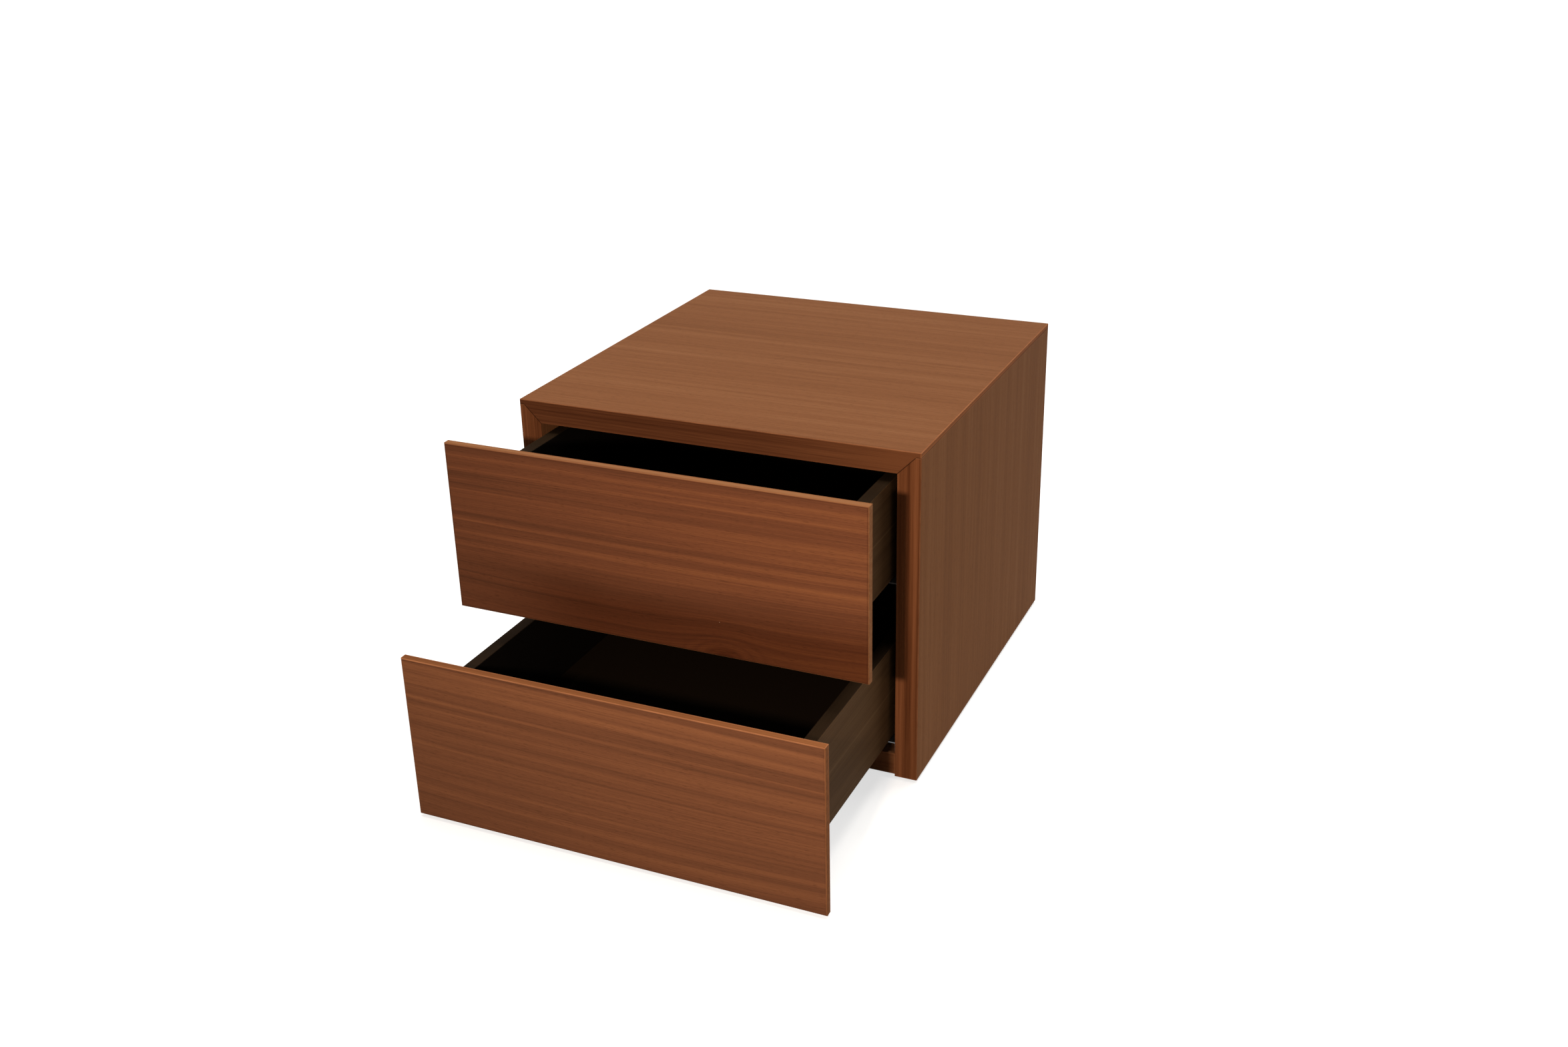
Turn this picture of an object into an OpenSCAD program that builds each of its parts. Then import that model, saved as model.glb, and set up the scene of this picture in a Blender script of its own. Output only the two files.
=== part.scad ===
/* [Carcass] */
// Width over the side boards
carcass_w = 500; // [420:10:700]
// Depth of the carcass behind the drawer fronts
carcass_d = 508; // [420:2:600]
// Height of the carcass without its glides
carcass_h = 408; // [380:2:520]
// Thickness of the top, side and bottom boards
board_t = 27; // [22:1:32]
// Height of the top board's edge that laps over the side boards
mitre_lap = 6; // [3:1:10]
// Lift of the bottom board above the feet of the side boards
bottom_lift = 3; // [0:1:10]
// Radius of the eased outer edges of the carcass
carcass_arris = 1; // [0.5:0.25:2]
// Thickness of the back panel
back_t = 8; // [4:1:10]
// Width of the rebate that holds the back panel
rebate_w = 10; // [7:1:14]

/* [Carcass joints] */
// Thickness of the loose tongue in each mitre
tongue_t = 4; // [3:0.5:5]
// Width of the loose tongue across the mitre
tongue_w = 18; // [12:1:20]
// Distance from the mitre's inner corner to the tongue's middle
tongue_in = 12; // [10:1:14]
// Distance from the tongue's ends to the front edge and to the back panel
tongue_stop = 20; // [10:5:60]
// Diameter of the dowels between the bottom and side boards
carcass_dowel_d = 8; // [6:1:10]
// Length of a carcass dowel in the side board
carcass_dowel_in_side = 14; // [10:1:18]
// Length of a carcass dowel in the bottom board
carcass_dowel_in_bottom = 21; // [15:1:30]
// Distance from the front and back edges to the outer carcass dowels
carcass_dowel_margin = 60; // [50:5:120]
// Shank diameter of the back panel's screws
back_screw_d = 3.5; // [3:0.5:4]
// Length of the back panel's screws
back_screw_l = 25; // [18:1:30]
// Distance from the opening's corners to the nearest screws of the back panel
back_screw_margin = 60; // [40:5:100]

/* [Glides] */
// Diameter of a floor glide
glide_d = 20; // [14:1:22]
// Height of a floor glide
glide_h = 4; // [3:0.5:8]
// Radius of a glide's lower edge
glide_edge = 1.2; // [0.5:0.1:1.5]
// Distance from the front and back edges to a glide's middle
glide_margin = 25; // [15:1:40]
// Diameter of a glide's nail
nail_d = 2.5; // [2:0.1:3]
// Head diameter of a glide's nail
nail_head_d = 6; // [5:0.5:8]
// Length of a glide's nail
nail_l = 20; // [15:1:30]

/* [Drawers] */
// Thickness of the drawer fronts
front_t = 9; // [8:1:22]
// Gap between the two drawer fronts
front_gap = 8; // [3:1:12]
// Gap between a closed front and the carcass
reveal = 2; // [1:0.5:3]
// Radius of the eased edges round each front
front_arris = 1.5; // [0.5:0.25:3]
// Opening of the upper drawer as posed
upper_open = 146; // [2:1:400]
// Opening of the lower drawer as posed
lower_open = 265; // [2:1:400]
// Thickness of the drawer box's walls
wall_t = 15; // [12:1:18]
// Gap between a drawer box and the side board
side_gap = 8; // [6:0.5:12]
// Gap between the upper drawer box and the top board
top_gap = 11; // [6:1:30]
// Height of the upper box above the lower edge of its front
upper_box_rise = 42; // [38:1:60]
// Depth of the drawer bottom above the lower edge of the box
bottom_recess = 13; // [12:0.5:16]
// Thickness of the drawer bottom
bottom_t = 8; // [6:1:10]
// Depth of the grooves that hold the drawer bottom
groove_d = 5; // [3:1:7]
// Radius of the eased upper edges of the box
wall_arris = 1; // [0.5:0.25:2]
// Diameter of the drawer box's dowels
box_dowel_d = 6; // [5:1:8]
// Length of a box dowel in the side wall
box_dowel_in_side = 9; // [6:1:10]
// Length of a box dowel in the front or back wall
box_dowel_in_end = 20; // [15:1:30]
// Distance from the outer box dowels to the drawer bottom and to the wall's upper edge
box_dowel_margin = 18; // [12:1:24]
// Shank diameter of the screws that hold a front to its box
front_screw_d = 4; // [3:0.5:5]
// Wood left in front of the tips of the front's screws
front_screw_tip = 4; // [3:0.5:6]
// Distance from the front's screws to the side walls
front_screw_inset = 60; // [35:5:120]
// Distance from the front's screws to the edges of the box front
front_screw_margin = 36; // [30:1:45]

/* [Runners] */
// Thickness of the runners' steel strip
strip_t = 1.2; // [1:0.1:1.5]
// Inner radius of the bends in the strip
bend_r = 0.6; // [0.4:0.1:1]
// Width of the outer channels
channel_w = 21.2; // [20.8:0.1:24]
// Width of each lip over an outer channel
lip_w = 4; // [3.5:0.1:4.5]
// Width of the middle rail's flanges
flange_w = 17.6; // [16.5:0.1:18]
// Height of the middle rail
middle_h = 16.8; // [14:0.2:20]
// Gap between a flange and the lips over it
lip_play = 0.7; // [0.5:0.1:1.5]
// Gap between the drawer's wall and the runner
runner_gap = 1.2; // [1:0.1:2]
// Gap between the lower runners and the bottom board
floor_gap = 2; // [1:0.5:5]
// Distance of the cabinet rails behind the carcass's front edge
rail_setback = 3; // [1:1:10]
// Gap between the sliding rails and the ends of the box
rail_end_gap = 3; // [2.5:0.5:6]
// Gap between a drawer wall's lower edge and the bracket below it
bracket_gap = 1.6; // [1:0.2:2]
// Height of the bracket's leg on the side board
bracket_leg_h = 12.4; // [12:0.2:13]
// Height of the bracket's flange that is welded to the channel
bracket_flange_h = 9.5; // [8.5:0.5:11]
// Diameter of a roller
roller_d = 3.2; // [2.8:0.1:3.4]
// Length of a roller
roller_l = 12; // [10:0.5:14]
// Distance between the rollers
roller_pitch = 25; // [15:1:40]
// Gap between a roller and the rails above and below it
roller_play = 0.1; // [0.05:0.05:0.2]
// Gap between a roller and its pocket
pocket_play = 0.1; // [0.05:0.05:0.2]
// Length of a roller cage
cage_l = 150; // [80:10:170]
// Width of a roller cage
cage_w = 17; // [16:0.2:17.4]
// Thickness of a roller cage
cage_t = 1.8; // [1.2:0.2:2.4]

/* [Runner screws] */
// Shank diameter of the cabinet rails' screws
cabinet_screw_d = 6; // [4:0.5:6.5]
// Length of the cabinet rails' screws under the head
cabinet_screw_l = 12; // [10:1:18]
// Head diameter of the cabinet rails' screws
cabinet_head_d = 9; // [7.5:0.5:9.5]
// Head height of the cabinet rails' screws
cabinet_head_h = 2; // [1.5:0.1:3]
// Distance from the carcass's front edge to the first rail screw
system_front = 37; // [30:1:50]
// Distance between the rail screws
system_step = 192; // [96:32:192]
// Shank diameter of the drawer rails' screws
tab_screw_d = 3.5; // [3:0.5:4]
// Wood left above the tips of the drawer rails' screws
tab_screw_tip = 1.7; // [1.5:0.1:3]
// Head diameter of the drawer rails' screws
tab_head_d = 7; // [6:0.5:8]
// Head height of the drawer rails' screws
tab_head_h = 2; // [1.5:0.1:2.5]
// Width of the drawer rails' screw tabs
tab_w = 13; // [10:1:18]
// Length of the drawer rails' screw tabs
tab_l = 22; // [14:1:30]
// Distance from a drawer rail's ends to its outer tabs' middles
tab_margin = 30; // [20:1:60]

/* [Push latches] */
// Diameter of the plunger
plunger_d = 8; // [6:0.5:9]
// Length of the plunger outside the housing
plunger_out = 12; // [10.5:0.5:16]
// Length of the plunger inside the housing
plunger_in = 14; // [10:0.5:16]
// Travel of the plunger
plunger_travel = 10; // [6:0.5:10]
// Radius of the plunger's nose
plunger_nose = 2; // [1:0.25:2.5]
// Running clearance round the plunger
plunger_play = 0.05; // [0.02:0.01:0.1]
// Gap between the closed drawer and the plunger
plunger_gap = 0.3; // [0.1:0.1:1]
// Diameter of the housing's barrel
barrel_d = 14; // [13:0.5:14.5]
// Wall behind the housing's bore
barrel_end = 3; // [2:0.5:5]
// Thickness of the housing's foot on the side board
foot_t = 2.5; // [2:0.5:4]
// Height of the housing's foot
foot_h = 44; // [38:1:60]
// Thickness of the web between barrel and foot
latch_web_t = 8; // [5:0.5:12]
// Space between the housing and the back panel
latch_rear_gap = 11.7; // [5:0.1:40]
// Shank diameter of the housing's screws
latch_screw_d = 3.5; // [3:0.5:4]
// Length of the housing's screws under the head
latch_screw_l = 16; // [12:1:20]
// Head diameter of the housing's screws
latch_head_d = 7; // [6:0.5:8]
// Head height of the housing's screws
latch_head_h = 2; // [1.5:0.1:2.5]
// Distance from the foot's ends to the housing's screws
latch_screw_margin = 7; // [5:0.5:9]

/* [Fits] */
// Radial clearance of dowels, nails and screws in their holes
hole_play = 0.1; // [0.05:0.05:0.3]
// Clearance beyond the end of a dowel, nail or screw
hole_end = 1; // [0.5:0.25:1.25]
// Clearance of panels and tongues in their grooves
panel_fit = 0.2; // [0.1:0.1:0.5]

/* [Hidden] */
$fn = 48;

// Finishes
walnut = "#8a5636";
laminate = "#3c2c20";
beech = "#d2ab78";
zinc = "#b9bcbf";
steel = "#9da0a3";
nylon = "#2b2b2d";
pale_nylon = "#d9d6cd";

LEFT = -1;
RIGHT = 1;
SIDES = [LEFT, RIGHT];

// Overlap of a cutting shape past the face that it cuts
past = 1;

// Carcass: x runs from the middle, y back from the front edges, z up from the side boards' feet
opening_w = carcass_w - 2 * board_t;
opening_bottom = bottom_lift + board_t;
opening_top = carcass_h - board_t;
mitre_run = board_t - mitre_lap;
back_y = carcass_d - back_t;

// Depth of a nail's head under the top of its glide
nail_seat = glide_h / 2;

// Latches
barrel_l = plunger_in + plunger_travel + hole_end + barrel_end;
rear_space = plunger_gap + plunger_out + barrel_l + latch_rear_gap;

// Fronts and boxes
front_h = (carcass_h - front_gap) / 2;
box_w = opening_w - 2 * side_gap;
inner_w = box_w - 2 * wall_t;
box_l = back_y + reveal - rear_space;
travel = box_l;
floor_z = bottom_recess + bottom_t;
front_screw_l = wall_t + front_t - front_screw_tip;

// Runner heights, measured from the lower edge of the drawer box
bend_outer = bend_r + strip_t;
roller_space = roller_d + 2 * roller_play;
channel_h = 3 * strip_t + roller_space + lip_play;
upper_roller_z = bottom_recess - strip_t - roller_space / 2;
middle_top = bottom_recess - strip_t - roller_space;
middle_bottom = middle_top - middle_h;
lower_roller_z = middle_bottom - roller_space / 2;
cabinet_rail_bottom = middle_bottom - roller_space - strip_t;
bracket_top = -bracket_gap;
cabinet_screw_z = bracket_top - (strip_t + bracket_leg_h) / 2;

// Heights of the two boxes, measured from the side boards' feet
lower_box_z = opening_bottom + floor_gap - cabinet_rail_bottom;
upper_box_z = front_h + front_gap + upper_box_rise;
box_h = opening_top - top_gap - upper_box_z;

// Runner places inboard of the side board
channel_x = side_gap + wall_t + runner_gap;
runner_x = channel_x + channel_w / 2;
tab_screw_x = channel_x + channel_w + tab_w / 2;

// Runner places along the depth, with the drawer closed
sliding_rail_l = box_l - wall_t - 2 * rail_end_gap;
sliding_rail_y = wall_t + rail_end_gap - reveal;
middle_rail_back_when_open = sliding_rail_y + sliding_rail_l - travel / 2;
cabinet_cage_y = (rail_setback + middle_rail_back_when_open) / 2 + travel / 4;
drawer_cage_y = sliding_rail_y + sliding_rail_l / 2;

// Drawer rails and their tabs, in the drawer's own frame
drawer_rail_y = wall_t + rail_end_gap;
first_tab_y = drawer_rail_y + tab_margin;
last_tab_y = drawer_rail_y + sliding_rail_l - tab_margin;
tab_screw_l = strip_t + bottom_t - tab_screw_tip;

// Latch places: across, along and above the lower edge of the drawer box
latch_x = side_gap + wall_t / 2;
plunger_y = box_l - reveal + plunger_gap;
barrel_y = plunger_y + plunger_out;
latch_z = box_h / 2;

// The origin lies on the floor, in the middle of the posed object's width and length
posed_front = max(upper_open, lower_open) + front_t;
front_y = (posed_front - carcass_d) / 2;

function ends_and_middle(low, high) = [low, (low + high) / 2, high];

// ---------- Frames ----------

// Stands the carcass on the floor
module on_floor() {
    translate([0, front_y, glide_h])
        children();
}

// Frames at the height of a drawer's box, for pieces drawn with that drawer closed.
// A piece comes forwards by its share of the drawer's opening: 0 stays on the carcass.
module upper(share) {
    on_floor()
        translate([0, (reveal - upper_open) * share, upper_box_z])
            children();
}

module lower(share) {
    on_floor()
        translate([0, (reveal - lower_open) * share, lower_box_z])
            children();
}

// A drawer's own frame: y = 0 on the back face of its front, z = 0 under its box
module upper_drawer() {
    upper(1)
        translate([0, -reveal, 0])
            children();
}

module lower_drawer() {
    lower(1)
        translate([0, -reveal, 0])
            children();
}

// Both heights, on the carcass
module at_both_heights() {
    for (box_z = [upper_box_z, lower_box_z])
        translate([0, 0, box_z])
            children();
}

// Children are drawn with x outwards on the right, and mirrored for the left
module outboard(side) {
    mirror([side == LEFT ? 1 : 0, 0, 0])
        children();
}

// Children are drawn with x inwards from the left side board, and mirrored for the right
module inboard(side) {
    mirror([side == RIGHT ? 1 : 0, 0, 0])
        translate([-opening_w / 2, 0, 0])
            children();
}

// ---------- Shared shapes ----------

// Extrudes an outline of x and z along y
module along_y(start, length) {
    translate([0, start + length, 0])
        rotate([90, 0, 0])
            linear_extrude(length)
                children();
}

// Extrudes an outline of y and z along x, about the middle
module along_x(length) {
    rotate([90, 0, 90])
        linear_extrude(length, center = true)
            children();
}

// Rectangle with four round corners, about its middle
module round_rect(w, h, r) {
    square([w - 2 * r, h], center = true);
    square([w, h - 2 * r], center = true);
    for (x = [r - w / 2, w / 2 - r], y = [r - h / 2, h / 2 - r])
        translate([x, y])
            circle(r);
}

// Waste outside a round corner whose square corner is the origin
module corner_waste(r) {
    difference() {
        translate([-past, -past])
            square(r + past);
        translate([r, r])
            circle(r);
    }
}

// Rectangle above y = 0, about x = 0, whose two lower corners are round
module eased_rect(w, h, r) {
    difference() {
        translate([-w / 2, 0])
            square([w, h]);
        for (side = SIDES)
            mirror([side == RIGHT ? 1 : 0, 0])
                translate([-w / 2, 0])
                    corner_waste(r);
    }
}

// Round pin from the origin along x
module pin_x(d, l) {
    rotate([0, 90, 0])
        cylinder(d = d, h = l);
}

// Pan-head screw along z, whose head seats on z = 0
module pan_screw(d, l, head_d, head_h) {
    edge = head_h / 2;
    rotate_extrude() {
        square([d / 2, l - d / 2]);
        polygon([[0, l - d / 2], [d / 2, l - d / 2], [0, l]]);
        translate([0, -head_h])
            square([head_d / 2 - edge, head_h]);
        translate([0, -edge])
            square([head_d / 2, edge]);
        translate([head_d / 2 - edge, -edge])
            circle(edge);
    }
}

// Hole along z for a screw's shank
module shank_hole(d, l) {
    cylinder(d = d + 2 * hole_play, h = l + hole_end);
}

// Countersunk screw along z, whose flat head lies on z = 0
module flat_screw(d, l) {
    rotate_extrude()
        polygon([[0, 0], [d, 0], [d / 2, d / 2], [d / 2, l - d / 2], [0, l]]);
}

// Hole for a countersunk screw
module flat_screw_hole(d, l) {
    rotate_extrude()
        polygon([[0, -past], [d + hole_play, -past], [d + hole_play, hole_play],
                 [d / 2 + hole_play, d / 2 + hole_play], [d / 2 + hole_play, l + hole_end],
                 [0, l + hole_end]]);
}

// ---------- Carcass ----------

// Waste along the upright corner edges of the carcass
module upright_waste(side) {
    for (back = [0, 1])
        outboard(side)
            translate([carcass_w / 2, back * carcass_d, -past])
                mirror([1, 0, 0])
                    mirror([0, back, 0])
                        linear_extrude(carcass_h + 2 * past)
                            corner_waste(carcass_arris);
}

// Rebate of the back panel, larger than the panel by the play
module back_space(play) {
    w = opening_w + 2 * (rebate_w + play);
    h = opening_top - opening_bottom + 2 * (rebate_w + play);
    translate([-w / 2, back_y, opening_bottom - rebate_w - play])
        cube([w, back_t, h]);
}

// Loose tongue across a mitre, or its slot
module tongue(side, play) {
    shift = tongue_in / sqrt(2);
    l = back_y - 2 * tongue_stop;
    outboard(side)
        translate([opening_w / 2 + shift, tongue_stop + l / 2, opening_top + shift])
            rotate([0, 45, 0])
                cube([tongue_w + 2 * play, l + 2 * play, tongue_t + 2 * play], center = true);
}

module at_carcass_dowels(side) {
    for (y = ends_and_middle(carcass_dowel_margin, carcass_d - carcass_dowel_margin))
        outboard(side)
            translate([opening_w / 2, y, bottom_lift + board_t / 2])
                children();
}

module at_glides() {
    for (side = SIDES, y = [glide_margin, carcass_d - glide_margin])
        translate([side * (carcass_w - board_t) / 2, y, 0])
            children();
}

// Frames of the back panel's screws, on its outer face and along the screws
module at_back_screw(x, z) {
    translate([x, carcass_d, z])
        rotate([90, 0, 0])
            children();
}

module at_side_back_screws(side) {
    low = opening_bottom + back_screw_margin;
    high = opening_top - back_screw_margin;
    for (z = ends_and_middle(low, high))
        at_back_screw(side * (opening_w + rebate_w) / 2, z)
            children();
}

module at_level_back_screws(z) {
    for (side = SIDES)
        at_back_screw(side * (opening_w / 2 - back_screw_margin), z)
            children();
}

module at_top_back_screws() {
    at_level_back_screws(opening_top + rebate_w / 2)
        children();
}

module at_bottom_back_screws() {
    at_level_back_screws(opening_bottom - rebate_w / 2)
        children();
}

module top_section() {
    x = carcass_w / 2;
    shoulder = opening_w / 2 + mitre_run;
    difference() {
        polygon([[-x, carcass_h], [-x, carcass_h - mitre_lap], [-shoulder, carcass_h - mitre_lap],
                 [-opening_w / 2, opening_top], [opening_w / 2, opening_top],
                 [shoulder, carcass_h - mitre_lap], [x, carcass_h - mitre_lap], [x, carcass_h]]);
        for (side = SIDES)
            mirror([side == RIGHT ? 1 : 0, 0])
                translate([-x, carcass_h])
                    mirror([0, 1])
                        corner_waste(carcass_arris);
    }
}

module top_panel() {
    color(walnut)
        difference() {
            along_y(0, carcass_d)
                top_section();
            for (back = [0, 1])
                translate([0, back * carcass_d, carcass_h])
                    mirror([0, back, 0])
                        along_x(carcass_w + 2 * past)
                            mirror([0, 1])
                                corner_waste(carcass_arris);
            for (side = SIDES) {
                upright_waste(side);
                tongue(side, panel_fit);
            }
            back_space(0);
            at_top_back_screws()
                flat_screw_hole(back_screw_d, back_screw_l);
        }
}

// Right side board's outline
module side_section() {
    x = carcass_w / 2;
    shoulder = opening_w / 2 + mitre_run;
    polygon([[opening_w / 2, 0], [x, 0], [x, carcass_h - mitre_lap],
             [shoulder, carcass_h - mitre_lap], [opening_w / 2, opening_top]]);
}

module side_panel(side) {
    color(walnut)
        difference() {
            outboard(side)
                along_y(0, carcass_d)
                    side_section();
            upright_waste(side);
            tongue(side, panel_fit);
            back_space(0);
            at_side_back_screws(side)
                flat_screw_hole(back_screw_d, back_screw_l);
            at_carcass_dowels(side)
                pin_x(carcass_dowel_d + 2 * hole_play, carcass_dowel_in_side + hole_end);
            at_glides()
                shank_hole(nail_d, nail_l - nail_seat);
            at_both_heights() {
                at_cabinet_screws(side)
                    shank_hole(cabinet_screw_d, cabinet_screw_l - strip_t);
                if (side == LEFT)
                    at_latch_screws()
                        shank_hole(latch_screw_d, latch_screw_l - foot_t);
            }
        }
}

module bottom_panel() {
    color(walnut)
        difference() {
            translate([-opening_w / 2, 0, bottom_lift])
                cube([opening_w, carcass_d, board_t]);
            back_space(0);
            at_bottom_back_screws()
                flat_screw_hole(back_screw_d, back_screw_l);
            for (side = SIDES)
                at_carcass_dowels(side)
                    mirror([1, 0, 0])
                        pin_x(carcass_dowel_d + 2 * hole_play, carcass_dowel_in_bottom + hole_end);
        }
}

module at_all_back_screws() {
    for (side = SIDES)
        at_side_back_screws(side)
            children();
    at_top_back_screws()
        children();
    at_bottom_back_screws()
        children();
}

module back_panel() {
    color(walnut)
        difference() {
            back_space(-panel_fit);
            at_all_back_screws()
                flat_screw_hole(back_screw_d, back_screw_l);
        }
}

module mitre_tongues() {
    color(beech)
        for (side = SIDES)
            tongue(side, 0);
}

module bottom_dowels() {
    color(beech)
        for (side = SIDES)
            at_carcass_dowels(side)
                translate([-carcass_dowel_in_bottom, 0, 0])
                    pin_x(carcass_dowel_d, carcass_dowel_in_side + carcass_dowel_in_bottom);
}

module back_panel_screws() {
    color(steel)
        at_all_back_screws()
            flat_screw(back_screw_d, back_screw_l);
}

module floor_glides() {
    color(nylon)
        at_glides()
            translate([0, 0, -glide_h])
                difference() {
                    rotate_extrude()
                        difference() {
                            square([glide_d / 2, glide_h]);
                            translate([glide_d / 2, 0])
                                mirror([1, 0])
                                    corner_waste(glide_edge);
                        }
                    translate([0, 0, -past])
                        cylinder(d = nail_head_d + 2 * hole_play, h = glide_h - nail_seat + past);
                    shank_hole(nail_d, glide_h);
                }
}

module glide_nails() {
    head_h = (glide_h - nail_seat) / 2;
    color(steel)
        at_glides()
            translate([0, 0, -nail_seat])
                rotate_extrude()
                    polygon([[0, -head_h], [nail_head_d / 2, -head_h], [nail_head_d / 2, 0],
                             [nail_d / 2, 0], [nail_d / 2, nail_l - nail_d], [0, nail_l]]);
}

// ---------- Cabinet rails, in a drawer's height but on the carcass ----------

// Channel about its middle, with the lips on top
module channel_section() {
    difference() {
        round_rect(channel_w, channel_h, bend_outer);
        round_rect(channel_w - 2 * strip_t, channel_h - 2 * strip_t, bend_r);
        translate([lip_w - channel_w / 2, 0])
            square([channel_w - 2 * lip_w, channel_h]);
    }
}

// Strip that hangs the channel on the side board: a leg, a web and a flange
module bracket_section() {
    middle = [channel_x / 2, bracket_top - bracket_leg_h];
    difference() {
        translate(middle)
            round_rect(channel_x, 2 * bracket_leg_h, bend_outer);
        translate(middle)
            round_rect(channel_x - 2 * strip_t, 2 * (bracket_leg_h - strip_t), bend_r);
        translate([-past, bracket_top - 2 * bracket_leg_h - past])
            square([channel_x + 2 * past, bracket_leg_h + past]);
        translate([channel_x / 2, bracket_top - bracket_leg_h - past])
            square([channel_x, bracket_leg_h - bracket_flange_h + past]);
    }
}

// Frames of a cabinet rail's screws, on the side board's inner face and outwards
module at_cabinet_screws(side) {
    last = rail_setback + box_l - cabinet_head_d;
    for (y = [system_front : system_step : last])
        outboard(side)
            translate([opening_w / 2, y, cabinet_screw_z])
                rotate([0, 90, 0])
                    children();
}

module cabinet_rail(side) {
    color(zinc)
        difference() {
            inboard(side)
                along_y(rail_setback, box_l) {
                    bracket_section();
                    translate([runner_x, cabinet_rail_bottom + channel_h / 2])
                        channel_section();
                }
            at_cabinet_screws(side)
                translate([0, 0, -strip_t - past])
                    cylinder(d = cabinet_screw_d + 2 * hole_play, h = strip_t + 2 * past);
        }
}

module cabinet_rail_screws() {
    color(steel)
        at_both_heights()
            for (side = SIDES)
                at_cabinet_screws(side)
                    translate([0, 0, -strip_t])
                        pan_screw(cabinet_screw_d, cabinet_screw_l, cabinet_head_d, cabinet_head_h);
}

// ---------- Push latches, in a drawer's height but on the left side board ----------

// Frame on the plunger's axis, at the front of the housing and along the axis
module at_barrel() {
    translate([latch_x - opening_w / 2, barrel_y, latch_z])
        rotate([-90, 0, 0])
            children();
}

// Frames of the housing's screws, on the side board's inner face and outwards
module at_latch_screws() {
    for (up = [-1, 1])
        translate([-opening_w / 2, barrel_y + barrel_l / 2,
                   latch_z + up * (foot_h / 2 - latch_screw_margin)])
            rotate([0, -90, 0])
                children();
}

module latch_housing() {
    bore_d = plunger_d + 2 * plunger_play;
    difference() {
        union() {
            at_barrel()
                cylinder(d = barrel_d, h = barrel_l);
            translate([-opening_w / 2, barrel_y, latch_z - latch_web_t / 2])
                cube([latch_x, barrel_l, latch_web_t]);
            translate([-opening_w / 2, barrel_y, latch_z - foot_h / 2])
                cube([foot_t, barrel_l, foot_h]);
        }
        at_barrel()
            translate([0, 0, -past])
                cylinder(d = bore_d, h = barrel_l - barrel_end + past);
        at_latch_screws()
            translate([0, 0, -foot_t - past])
                cylinder(d = latch_screw_d + 2 * hole_play, h = foot_t + 2 * past);
    }
}

module latch_housings() {
    color(nylon)
        at_both_heights()
            latch_housing();
}

module latch_screws() {
    color(steel)
        at_both_heights()
            at_latch_screws()
                translate([0, 0, -foot_t])
                    pan_screw(latch_screw_d, latch_screw_l, latch_head_d, latch_head_h);
}

module latch_plunger() {
    r = plunger_d / 2;
    color(pale_nylon)
        at_barrel()
            rotate_extrude() {
                translate([0, -plunger_out])
                    square([r - plunger_nose, plunger_out]);
                translate([0, plunger_nose - plunger_out])
                    square([r, plunger_out - plunger_nose + plunger_in]);
                translate([r - plunger_nose, plunger_nose - plunger_out])
                    circle(plunger_nose);
            }
}

// ---------- Drawers, in a drawer's own frame ----------

// Frames of the front's screws, on the box front's inner face and forwards
module at_front_screws() {
    x = inner_w / 2 - front_screw_inset;
    for (side = SIDES, z = [front_screw_margin, box_h - front_screw_margin])
        translate([side * x, wall_t, z])
            rotate([90, 0, 0])
                children();
}

// Front whose lower edge lies a given drop below the box
module drawer_front(drop) {
    color(walnut)
        difference() {
            translate([0, -front_t, -drop])
                intersection() {
                    linear_extrude(front_h)
                        eased_rect(carcass_w, front_t, front_arris);
                    along_x(carcass_w)
                        translate([0, front_h / 2])
                            mirror([1, -1])
                                eased_rect(front_h, front_t, front_arris);
                }
            at_front_screws()
                flat_screw_hole(front_screw_d, front_screw_l);
        }
}

// Outline of a box wall from its lower edge up, about its middle
module wall_section() {
    translate([0, box_h])
        mirror([0, 1])
            eased_rect(wall_t, box_h, wall_arris);
}

// Frames of the box's dowels at one side, on the side wall's inner face and outwards
module at_box_dowels(side) {
    heights = ends_and_middle(floor_z + box_dowel_margin, box_h - box_dowel_margin);
    for (y = [wall_t / 2, box_l - wall_t / 2], z = heights)
        outboard(side)
            translate([inner_w / 2, y, z])
                rotate([0, 90, 0])
                    children();
}

// Holes of the dowels in the walls that stand between the side walls
module end_dowel_holes() {
    for (side = SIDES)
        at_box_dowels(side)
            mirror([0, 0, 1])
                shank_hole(box_dowel_d, box_dowel_in_end);
}

module box_side(side) {
    color(laminate)
        difference() {
            outboard(side)
                along_y(0, box_l)
                    difference() {
                        translate([(inner_w + wall_t) / 2, 0])
                            wall_section();
                        translate([inner_w / 2 - past, bottom_recess])
                            square([groove_d + past, bottom_t + panel_fit]);
                    }
            at_box_dowels(side)
                shank_hole(box_dowel_d, box_dowel_in_side);
        }
}

module box_front() {
    color(laminate)
        difference() {
            along_x(inner_w)
                difference() {
                    translate([wall_t / 2, 0])
                        wall_section();
                    translate([wall_t - groove_d, bottom_recess])
                        square([groove_d + past, bottom_t + panel_fit]);
                }
            end_dowel_holes();
            at_front_screws()
                flat_screw_hole(front_screw_d, front_screw_l);
        }
}

module box_back() {
    color(laminate)
        difference() {
            along_x(inner_w)
                difference() {
                    translate([box_l - wall_t / 2, 0])
                        wall_section();
                    translate([box_l - wall_t - past, -past])
                        square([wall_t + 2 * past, floor_z + past]);
                }
            end_dowel_holes();
        }
}

module box_bottom() {
    w = inner_w + 2 * (groove_d - panel_fit);
    front = wall_t - groove_d + panel_fit;
    color(laminate)
        difference() {
            translate([-w / 2, front, bottom_recess])
                cube([w, box_l - front, bottom_t]);
            at_tab_screws(LEFT)
                shank_hole(tab_screw_d, tab_screw_l);
            at_tab_screws(RIGHT)
                shank_hole(tab_screw_d, tab_screw_l);
        }
}

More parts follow.
